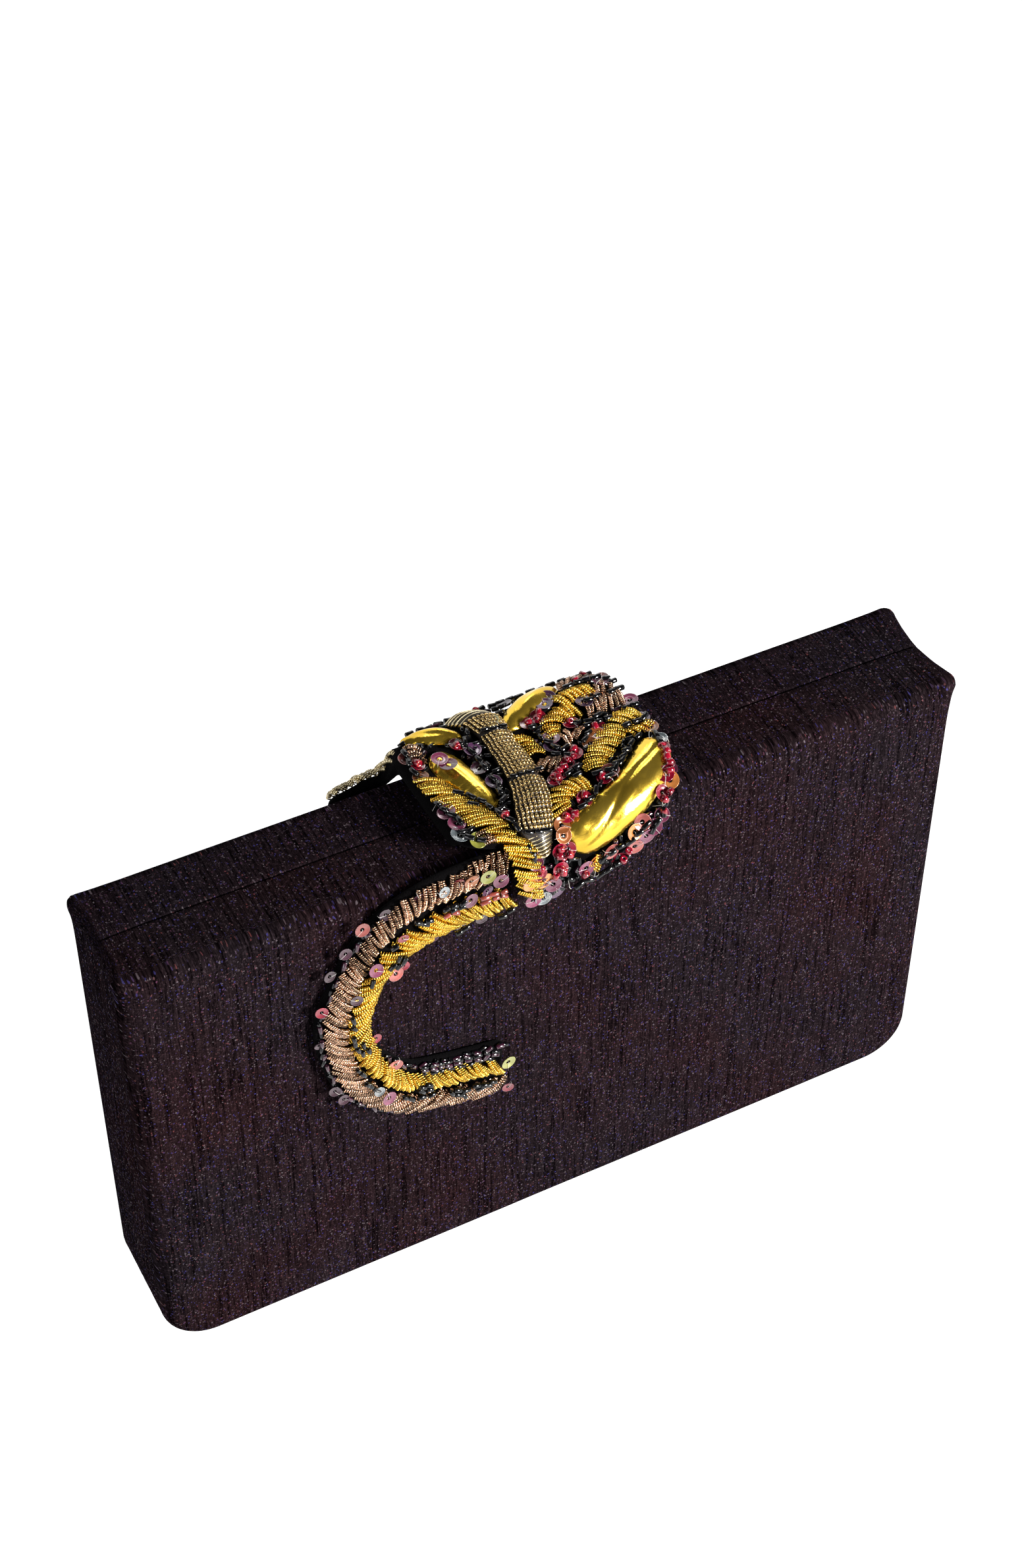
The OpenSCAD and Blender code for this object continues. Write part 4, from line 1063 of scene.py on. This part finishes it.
# black bugles
b = Batch()
BT = TABT + 0.9
for path in ([(9.6, 11), (14, 11), (17.4, 9.4), (21, 6.6), (25.4, 4.4)], [(11.4, 13.4), (16, 10.9), (19, 8.6)], [(22.5, 0.8), (28.6, 0.2)], [(13.4, -5.2), (17, -4.4), (21.6, -5.0)],
             [(15, -3.4), (19, -3.2), (22, -3.4)], [(4.4, 8.8), (7.4, 7.6), (9.4, 6.0)], [(5.6, 9.8), (8.8, 9.2)], [(8.6, 14.0), (7, 16.2), (3.6, 17.4)],
             [(3.4, -7.6), (6.6, -7.2)], [(4.6, -5.6), (6, -1.6), (6.8, 1.2), (8.6, 0.8)], [(4.6, 1.0), (7.6, 3.2)],
             [(-19.6, 2.4), (-17.4, 4.0), (-15.6, 6.4), (-14.6, 9.8)], [(-17.6, 6.4), (-16.4, 9.2)], [(-14, 11.4), (-12.4, 14.6), (-11, 18)], [(-10.6, -11), (-10.2, -6), (-10.0, -0.6)],
             [(-9.9, 1.4), (-10.2, 6), (-11.4, 10.6)], [(-11.8, -9), (-12.4, -11.4)], [(-24, -13), (-23.8, -6)], [(-24.2, 3), (-22.6, 8.4), (-21, 12.6)],
             [(-22.6, 14.4), (-18.8, 17.8)], [(-10.4, 21), (-9.9, 26.4)], [(29.6, -4.2), (24.6, -4.6)], [(24.6, -9.6), (29.4, -10.6)], [(16, -14.8), (22, -15.2), (29.6, -14.6)],
             [(29.8, 5), (29.6, 9)], [(24.6, 22.8), (21.4, 27.4), (17.4, 31)], [(13, 34.0), (6, 36.4), (-1, 37.2)], [(4.4, 31.4), (11, 29.4), (18, 26)],
             [(-20, -20.2), (-10, -20.2), (0, -20.2), (12, -20.4), (26, -19.8)], [(12.4, 1.4), (16, -1.8)], [(23, -9.8), (18, -9.6)]):
    bead_line(b, S_tab, N_tab, path, BT, length=2.2, r=0.64)
for s0 in (-10.0, 4.7, 19.2):
    w = np.linspace(0.06, 0.94, 5)
    bead_line(b, S_tab, N_tab, [(float(belly(np.array(q), s0 + 1.0 * (q - 0.5))), s0 + 1.0 * (q - 0.5)) for q in w], TABT + 1.75, length=1.9, r=0.55, gap=0.1)
b.make("tab_bugles", [M["black_bead"]], "tab", ["tab_black_beads"])

b = Batch()
for path in ([(-37.6, 120.6), (-33, 119.9)], [(-36.6, 119.4), (-33.8, 118.9)], [(-31.4, 121.2), (-26.5, 121.8)], [(-29.6, 120.2), (-25.4, 120.8)], [(-43.6, 115.4), (-41.0, 116.8)],
             [(-43.6, 109.0), (-41.4, 112.2)], [(-42.6, 108.6), (-40.4, 111.4)], [(-28.8, 112.9), (-25.4, 113.7)], [(-18.4, 112.8), (-15.2, 113.6)], [(-48.9, 106.0), (-47.5, 108.6)],
             [(-53.4, 98.6), (-52.9, 94.6)], [(-53.2, 93.0), (-53.0, 89.6)], [(-52.6, 88.6), (-50.6, 84.8)], [(-51.2, 89.2), (-49.6, 85.8)], [(-52.6, 81.8), (-50.8, 77.6)],
             [(-51.2, 76.4), (-48.6, 72.4)], [(-38.2, 67.6), (-34.6, 66.0)], [(-38.6, 66.4), (-35.2, 64.8)], [(-38.4, 63.6), (-34.2, 62.4)], [(-42.6, 66.2), (-39.6, 64.2)],
             [(-31.0, 61.2), (-26.5, 58.2)], [(-29.4, 61.4), (-25.8, 59.6)], [(-25, 60.2), (-18.0, 58.6)], [(-24, 59.2), (-19.4, 58.0)]):
    bead_line(b, S_tail, N_tail, zs(path), TAILT + 2.0, length=1.9, r=0.62, gap=0.2, jit=0.25)
for path, m, g, h in ((TAIL_OUT[3:19], 0, 0.7, 0.0), (TAIL_OUT[4:17], 1, 2.8, 0.4), (TAIL_IN[1:14], 0, 1.6, 0.0), (TAIL_IN[13:], 0, 0.25, 0.0), (TAIL_IN[12:], 1, 0.9, 0.5)):
    sgn = 1 if path[0][0] in [p[0] for p in TAIL_OUT] else -1
    c0 = np.array([-30.0, -90.0])
    P = []
    for p in path:
        v = c0 - np.array(p)
        v /= np.linalg.norm(v)
        P.append(tuple(np.array(p) + sgn * v * (0.9 if sgn > 0 else 0.8)))
    bead_line(b, S_tail, N_tail, P, TAILT - 0.45 + h, length=1.8, r=0.52, gap=g, m=m, jit=0.35)
for k in (0.0, 1.2, 2.4):
    bead_line(b, S_tail, N_tail, zs([(-36.8, 71.4 - k), (-30.8, 69.8 - k), (-24.4, 68.4 - k), (-17.6, 67.0 - k)]), TAILT + 0.2, length=1.9, r=0.58, gap=0.45, jit=0.3, m=1 if k == 1.2 else 0)
for path in ([(-22.4, 120.4), (-15.2, 119.8)], [(-22.0, 119.2), (-15.4, 118.4)], [(-31.2, 119.2), (-27.4, 119.4)]):
    bead_line(b, S_tail, N_tail, zs(path), TAILT + 1.9, length=2.0, r=0.56, gap=0.2, m=2, jit=0.3)
b.make("tail_bugles", [M["black_bead"], M["plum_bead"], M["brick_bead"]], "front_half", ["tail_black_beads"])

def covered(kind, x, s, pad):
    for P, hw in TAKEN[kind]:
        d = np.hypot(P[:, 0] - x, P[:, 1] - s)
        if (d < hw + pad).any():
            return True
    return False


# what is left of the velvet is filled with bugles laid every way
b = Batch()
tab_poly = resample(catmull_closed(tab_outline, 6), 1.0, closed=True)
leaf_polys = [resample(catmull_closed(P, 6), 0.8, closed=True) for P in LEAVES]
cand = rng.uniform((-25, -19.5), (31, 38), (2600, 2))
dd = seg_dist(cand, tab_poly)
ll = np.max([seg_dist(cand, P) for P in leaf_polys], axis=0)
placed = []
for (x, s_), e, l in zip(cand, dd, ll):
    if e < 1.6 or l > -0.75 or x < -23.4 or covered("tab", x, s_, 0.15):
        continue
    if float(belly(0.0, s_)) - 0.7 < x < float(belly(1.0, s_)) + 0.7 and s_ < 25.5:
        continue
    if placed and (np.hypot(*(np.array(placed).T - np.array([[x], [s_]]))) < 1.28).any():
        continue
    placed.append((x, s_))
    k = rng.random()
    m = 0 if k < 0.84 else 1 if k < 0.96 else 2
    bead(b, S_tab, N_tab, x, s_, rng.uniform(0, math.pi), rng.uniform(1.5, 2.1) if m < 2 else 1.3, rng.uniform(0.48, 0.62), TABT + 0.05 + rng.uniform(0, 0.35), m, tilt=rng.normal(0, 0.22))
b.make("tab_filling_beads", [M["black_bead"], M["plum_bead"], M["crimson"]], "tab")

# crimson beads on the tab
b = Batch()
for x, s in ((4.8, -9.6), (6.0, -9.2), (8.2, -10.2), (13.4, -6.2), (17.6, -1.4), (9.6, 2.8), (8.6, 4.0), (6.4, 4.8), (5.4, 6.2), (3.2, 7.0), (1.8, 7.8), (2.6, 9.0), (5.0, 15.6),
             (-0.4, 17.9), (0.8, 18.6), (-3.6, 24.6), (-2.2, 26.2), (-4.4, 26.4), (-4.6, 29.2), (-3.4, 30.6), (-5.2, 30.8), (-9.4, 28.6), (-8.8, 27.2), (28.6, 10.4), (29.0, 11.8),
             (26.8, 15.0), (27.2, 13.6), (25.4, 17.0), (23.4, 20.4), (22.2, 21.8), (-22.6, -8.4), (-12.6, -9.8), (10.6, 34.2), (21.2, 25.4), (11.4, 12.6), (-12.4, 13.0),
             (20.2, -16.4), (24, -20), (-3, -20), (12.6, 31.6), (1.2, 34.4)):
    bead(b, S_tab, N_tab, x + rng.normal(0, 0.35), s + rng.normal(0, 0.35), rng.uniform(0, 3.1), rng.uniform(1.3, 1.7), rng.uniform(0.72, 0.9), BT + 0.1, 0, sides=9, tilt=rng.normal(0, 0.4))
b.make("tab_crimson_glass", [M["crimson"]], "tab", ["tab_crimson_beads"])

# sequins
st = Batch()
b = Batch()
for x, s, c, h in ((-23.4, -5.4, "O", 1.3), (-18.2, -6.8, "M", 3.3), (-17.2, -4.4, "M", 3.5), (-22.6, -8.6, "C", 1.3), (-9.9, -7.6, "V", 1.3), (-11, -2.2, "D", 1.3), (-10.2, 3, "V", 1.4),
                   (-23.2, 6.6, "M", 1.2), (-22.7, 10.4, "M", 1.0), (-23.4, 13.6, "L", 0.8), (-12.4, -10.2, "C", 1.2), (-20.4, 16.4, "G", 1.0), (7, -3.2, "M", 1.6), (5.8, -0.8, "V", 1.3),
                   (10.2, -12.4, "V", 1.5), (11.9, -14.2, "V", 1.3), (18.4, -9.4, "V", 1.7), (25, -13.8, "M", 1.6), (29, -6.6, "M", 1.5), (21, -10.9, "O", 1.4), (16.2, 0.2, "O", 1.5),
                   (13.8, 1.9, "O", 1.4), (30.6, 2.6, "O", 1.0), (4.4, -9.3, "C", 1.3), (7.3, -10.0, "C", 1.3), (13.2, -5.6, "C", 1.2), (17.9, -1.6, "C", 1.2), (9.3, 3.3, "C", 1.3),
                   (6.3, 5.4, "C", 1.2), (3.3, 7.4, "C", 1.3), (1.8, 8.4, "C", 1.2), (5.1, 15.8, "C", 1.2), (0, 18, "C", 1.2), (-2, 19.8, "O", 1.3), (-2.3, 22, "O", 1.3), (-4, 25, "C", 1.3),
                   (-2, 25.6, "C", 1.1), (-9.6, 28.6, "C", 1.7), (-10, 25.6, "M", 1.6), (-4.3, 29.8, "C", 1.5), (2, 32.6, "M", 1.5), (4.6, 32.2, "P", 0.9), (8, 30.2, "R", 1.5), (13.8, 27.2, "P", 1.6),
                   (16, 25.6, "R", 1.4), (14, 31.8, "R", 1.2), (17, 30.2, "M", 1.3), (18.5, 27.8, "M", 1.3), (-6, 33.8, "M", 1.5), (-8.6, 34.2, "V", 1.3), (-8.2, 37.2, "L", 1.1),
                   (-10.8, 37.4, "M", 1.0), (-5, 37, "V", 1.0), (28.2, 10.4, "C", 1.4), (25.9, 14.8, "C", 1.4), (24.4, 17, "C", 1.5), (22.1, 20.6, "C", 1.4), (27.2, 16.6, "M", 1.1),
                   (25.8, 19, "P", 1.1), (10.4, 34, "C", 1.0), (20.9, 25.6, "M", 1.1), (30, 7.4, "L", 1.1), (11.6, 12.6, "C", 1.2), (13.6, 11.5, "R", 1.4), (27.8, -0.4, "V", 0.9),
                   (-3.2, -12.4, "G", 2.2), (-24, -11, "R", 1.2), (3.4, -18.4, "D", 1.2), (19.4, -20, "D", 1.2), (29.4, -18.6, "R", 1.1), (-5.2, -20.4, "C", 1.2),
                   (-13, -20.4, "D", 1.1), (24, -18.8, "O", 1.3), (-11.8, 30.5, "P", 2.0), (-8.2, 31.6, "P", 1.4), (-7.4, 23, "C", 0.9)):
    sequin(b, S_tab, N_tab, x, s, TABT + h * 0.85, rng.uniform(1.65, 1.95) if c in "CO" else rng.uniform(1.8, 2.1), SEQ_KEY[c], stitch=st)
b.make("tab_sequins_cupped", [M[k] for k in SEQ], "tab", ["tab_sequins"])
stt = Batch()
b = Batch()
for x, z, c, h in ((-49.2, 122.9, "R", 1.0), (-53.1, 117.0, "D", 0.6), (-57.0, 111.8, "D", 0.5), (-59.4, 101.8, "C", 0.7), (-42, 105.4, "R", 0.9), (-40, 106.8, "C", 0.6), (-47.3, 111.1, "M", 2.8),
                   (-52.0, 103.8, "D", 2.6), (-43.2, 76.6, "R", 1.4), (-45.9, 68.6, "M", 3.2), (-48, 71.8, "L", 3.0), (-16.0, 64.2, "G", 2.8), (-16.0, 55.2, "C", 2.6), (-57.6, 74.6, "D", 0.6),
                   (-47.2, 86.8, "C", 0.6), (-24.2, 126.4, "O", 1.9), (-26.8, 126.6, "C", 1.4), (-30.6, 126.2, "L", 2.0), (-36, 126.2, "D", 1.0), (-20.4, 126.2, "G", 2.2), (-26, 112.2, "D", 0.9),
                   (-21.4, 112.4, "D", 0.8), (-43.6, 124.4, "D", 0.7), (-60.2, 91, "D", 0.2), (-24.6, 121.0, "M", 2.2), (-20.6, 122.0, "V", 2.2),
                   (-40.3, 116.6, "C", 1.8), (-33.0, 112.4, "D", 0.8), (-55.6, 70.6, "D", 0.5), (-17.6, 124.0, "M", 2.6)):
    sequin(b, S_tail, N_tail, x, -z, TAILT + h, rng.uniform(1.65, 1.85) if c in "RMGO" else rng.uniform(1.25, 1.5), SEQ_KEY[c], stitch=stt)
b.make("tail_sequins_cupped", [M[k] for k in SEQ], "front_half", ["tail_sequins"])

# loose ends of clear thread round the edges
for _ in range(26):
    k = rng.integers(0, len(tab_outline))
    x0, s0 = tab_outline[k]
    if s0 < -14 or (x0 < -13 and s0 > 8):
        continue
    c = np.array([x0 * 0.93, 8 + (s0 - 8) * 0.93])
    d = rng.normal(0, 1, 2); d /= np.linalg.norm(d)
    pts = [(*(c - d * 1.4), TABT + 0.3), (*(c - d * 0.5), TABT + 2.0), (*(c + d * 0.6 + rng.normal(0, .4, 2)), TABT + 2.3), (*(c + d * 2.0), TABT + 0.6)]
    p = catmull(pts, 6)
    st.add(*tube_arrays(S_tab(p[:, 0], p[:, 1], p[:, 2]), 0.05, 4), 0)
st.make("tab_stitches", [M["thread"]], "tab")
stt.make("tail_stitches", [M["thread"]], "front_half")

# ---------------------------------------------------------------- inside pieces
def sheet_grid(name, P, mat, thick):
    """P is a grid of points (rows, columns, 3)"""
    P = np.asarray(P, float)
    a, c, _ = P.shape
    F = [(i * c + j, i * c + j + 1, (i + 1) * c + j + 1, (i + 1) * c + j) for i in range(a - 1) for j in range(c - 1)]
    o = mesh_obj(name, P.reshape(-1, 3), F, mat)
    mod = o.modifiers.new("thickness", "SOLIDIFY")
    mod.thickness = thick * 1e-3
    mod.offset = 0
    apply_mods(o)
    o.data.polygons.foreach_set("use_smooth", np.ones(len(o.data.polygons), dtype=bool))
    return o


pl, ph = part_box("slip_pocket")
px0, px1, pz0, pz1, py1 = pl[0] * 1e3, ph[0] * 1e3, pl[2] * 1e3, ph[2] * 1e3, ph[1] * 1e3
u = np.linspace(0, 1, 61)
v = np.linspace(0, 1, 45)
U, W = np.meshgrid(u, v)
edge = np.minimum(np.minimum(U, 1 - U) * 110, W * 62)
lift = 0.22 + 0.65 * (1 - np.exp(-edge / 4)) + 0.10 * noise2(U * 6, W * 4, 2) * np.clip(edge / 6, 0, 1)
hem = np.clip((W - 0.89) / 0.015, 0, 1) * np.clip((1.02 - W) / 0.02, 0, 1)
px = px0 + U * (px1 - px0)
pz = pz0 + W * (pz1 - pz0) - 0.9 * np.sin(math.pi * U) * W
pocket = sheet_grid("pocket", np.stack([px, py1 - np.minimum(lift + 0.16 * hem, 1.12), pz], -1), M["lining"], 0.35)
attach(pocket, "back_half"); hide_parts("slip_pocket")

# the tape that the tab folds on: one leg is glued to the front, the other to the back of the tab
tl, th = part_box("tab_hinge_strip")
tx0, tx1, tz1 = tl[0] * 1e3 + 0.5, th[0] * 1e3 - 0.5, th[2] * 1e3 - 0.3
prof = [(-16.10, tz1), (-16.10, tz1 - 2.6), (-16.10, 115.6), (-16.10, 114.2), (-16.10, 113.35)] + \
       [(-16.26 + 0.16 * math.cos(math.radians(a)), 113.30 - 0.16 * math.sin(math.radians(a))) for a in (20, 60, 90, 120, 160)] + \
       [(-16.42, 113.4), (-16.42, 114.4), (-16.42, 116.5), (-16.42, 118.8), (-16.42, 120.8)]
tape = sheet_grid("hinge_tape", [[(x, y, z) for x in np.linspace(tx0, tx1, 30)] for y, z in prof], M["velvet"], 0.14)
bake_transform(tape)
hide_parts("tab_hinge_strip")

# ---------------------------------------------------------------- finishes of the pieces that come from the frame
FINISH = {
    "back_board": "lining", "front_board": "lining", "closing_lip": "lining", "keeper_disc": "steel", "hinge_leaf_back": "brass", "hinge_leaf_front": "brass",
    "hinge_pin": "steel", "hinge_rivets_back": "brass", "hinge_rivets_front": "brass", "tab_magnet": "steel",
}
for n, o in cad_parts.items():
    if n in FINISH:
        m = M[FINISH[n]]
        if o.data.materials:
            for i in range(len(o.data.materials)):
                o.data.materials[i] = m
        else:
            o.data.materials.append(m)

# ---------------------------------------------------------------- floor and light
FLOOR_DROP = 0.0235                              # the front half swings this far below the base when it opens


def stage_mesh():
    P = []
    n = 24
    prof = [(-3.0, 0.0), (1.6, 0.0)] + [(1.6 + 0.8 * math.sin(math.radians(a)), 0.8 - 0.8 * math.cos(math.radians(a))) for a in range(10, 91, 10)] + [(2.4, 3.0)]
    V = [(x, y, z - FLOOR_DROP) for y, z in prof for x in np.linspace(-4, 4, n)]
    F = [(i * n + j, i * n + j + 1, (i + 1) * n + j + 1, (i + 1) * n + j) for i in range(len(prof) - 1) for j in range(n - 1)]
    me = bpy.data.meshes.new("floor")
    me.from_pydata(V, [], F)
    o = bpy.data.objects.new("floor", me)
    scene.collection.objects.link(o)
    m, nt, b = new_mat("floor_white")
    tc = node(nt, "ShaderNodeTexCoord").outputs["Object"]
    nz = noise(nt, tc, 3.0, 2.0, 0.5).outputs[0]
    nt.links.new(ramp(nt, nz, [(0.0, (0.22, 0.22, 0.22)), (1.0, (0.24, 0.24, 0.24))]), b.inputs["Base Color"])
    b.inputs["Emission Color"].default_value = (1, 1, 1, 1)
    b.inputs["Emission Strength"].default_value = 0.99
    b.inputs["Roughness"].default_value = 0.9
    b.inputs["Specular IOR Level"].default_value = 0.1
    me.materials.append(m)


stage_mesh()


def area(name, loc, target, size, power, col=(1, 1, 1), shape="RECTANGLE", size_y=None):
    d = bpy.data.lights.new(name, "AREA")
    d.shape = shape
    d.size = size
    d.size_y = size_y or size
    d.energy = power
    d.color = col
    o = bpy.data.objects.new(name, d)
    scene.collection.objects.link(o)
    o.location = loc
    o.rotation_euler = (Vector(target) - Vector(loc)).to_track_quat("-Z", "Y").to_euler()
    return o


area("key", (0.70, -1.00, 0.56), (0, 0, 0.09), 0.30, 62, (1.0, 0.985, 0.955))
area("fill", (-1.1, -0.55, 0.5), (0, 0, 0.08), 0.8, 8.0, (0.94, 0.96, 1.0))
area("top", (0.44, 0.82, 1.02), (0, 0, 0.1), 0.42, 3.0, (1.0, 0.99, 0.97))
world = bpy.data.worlds.new("world")
scene.world = world
world.use_nodes = True
wt = world.node_tree
bg = wt.nodes["Background"]
sx = wt.nodes.new("ShaderNodeSeparateXYZ")
wt.links.new(wt.nodes.new("ShaderNodeTexCoord").outputs["Generated"], sx.inputs[0])
wt.links.new(ramp(wt, sx.outputs[2], [(0.0, (0.80, 0.80, 0.80)), (0.10, (0.78, 0.78, 0.78)), (0.30, (0.16, 0.16, 0.16)), (0.7, (0.05, 0.05, 0.05))]), bg.inputs[0])
bg.inputs[1].default_value = 1.0
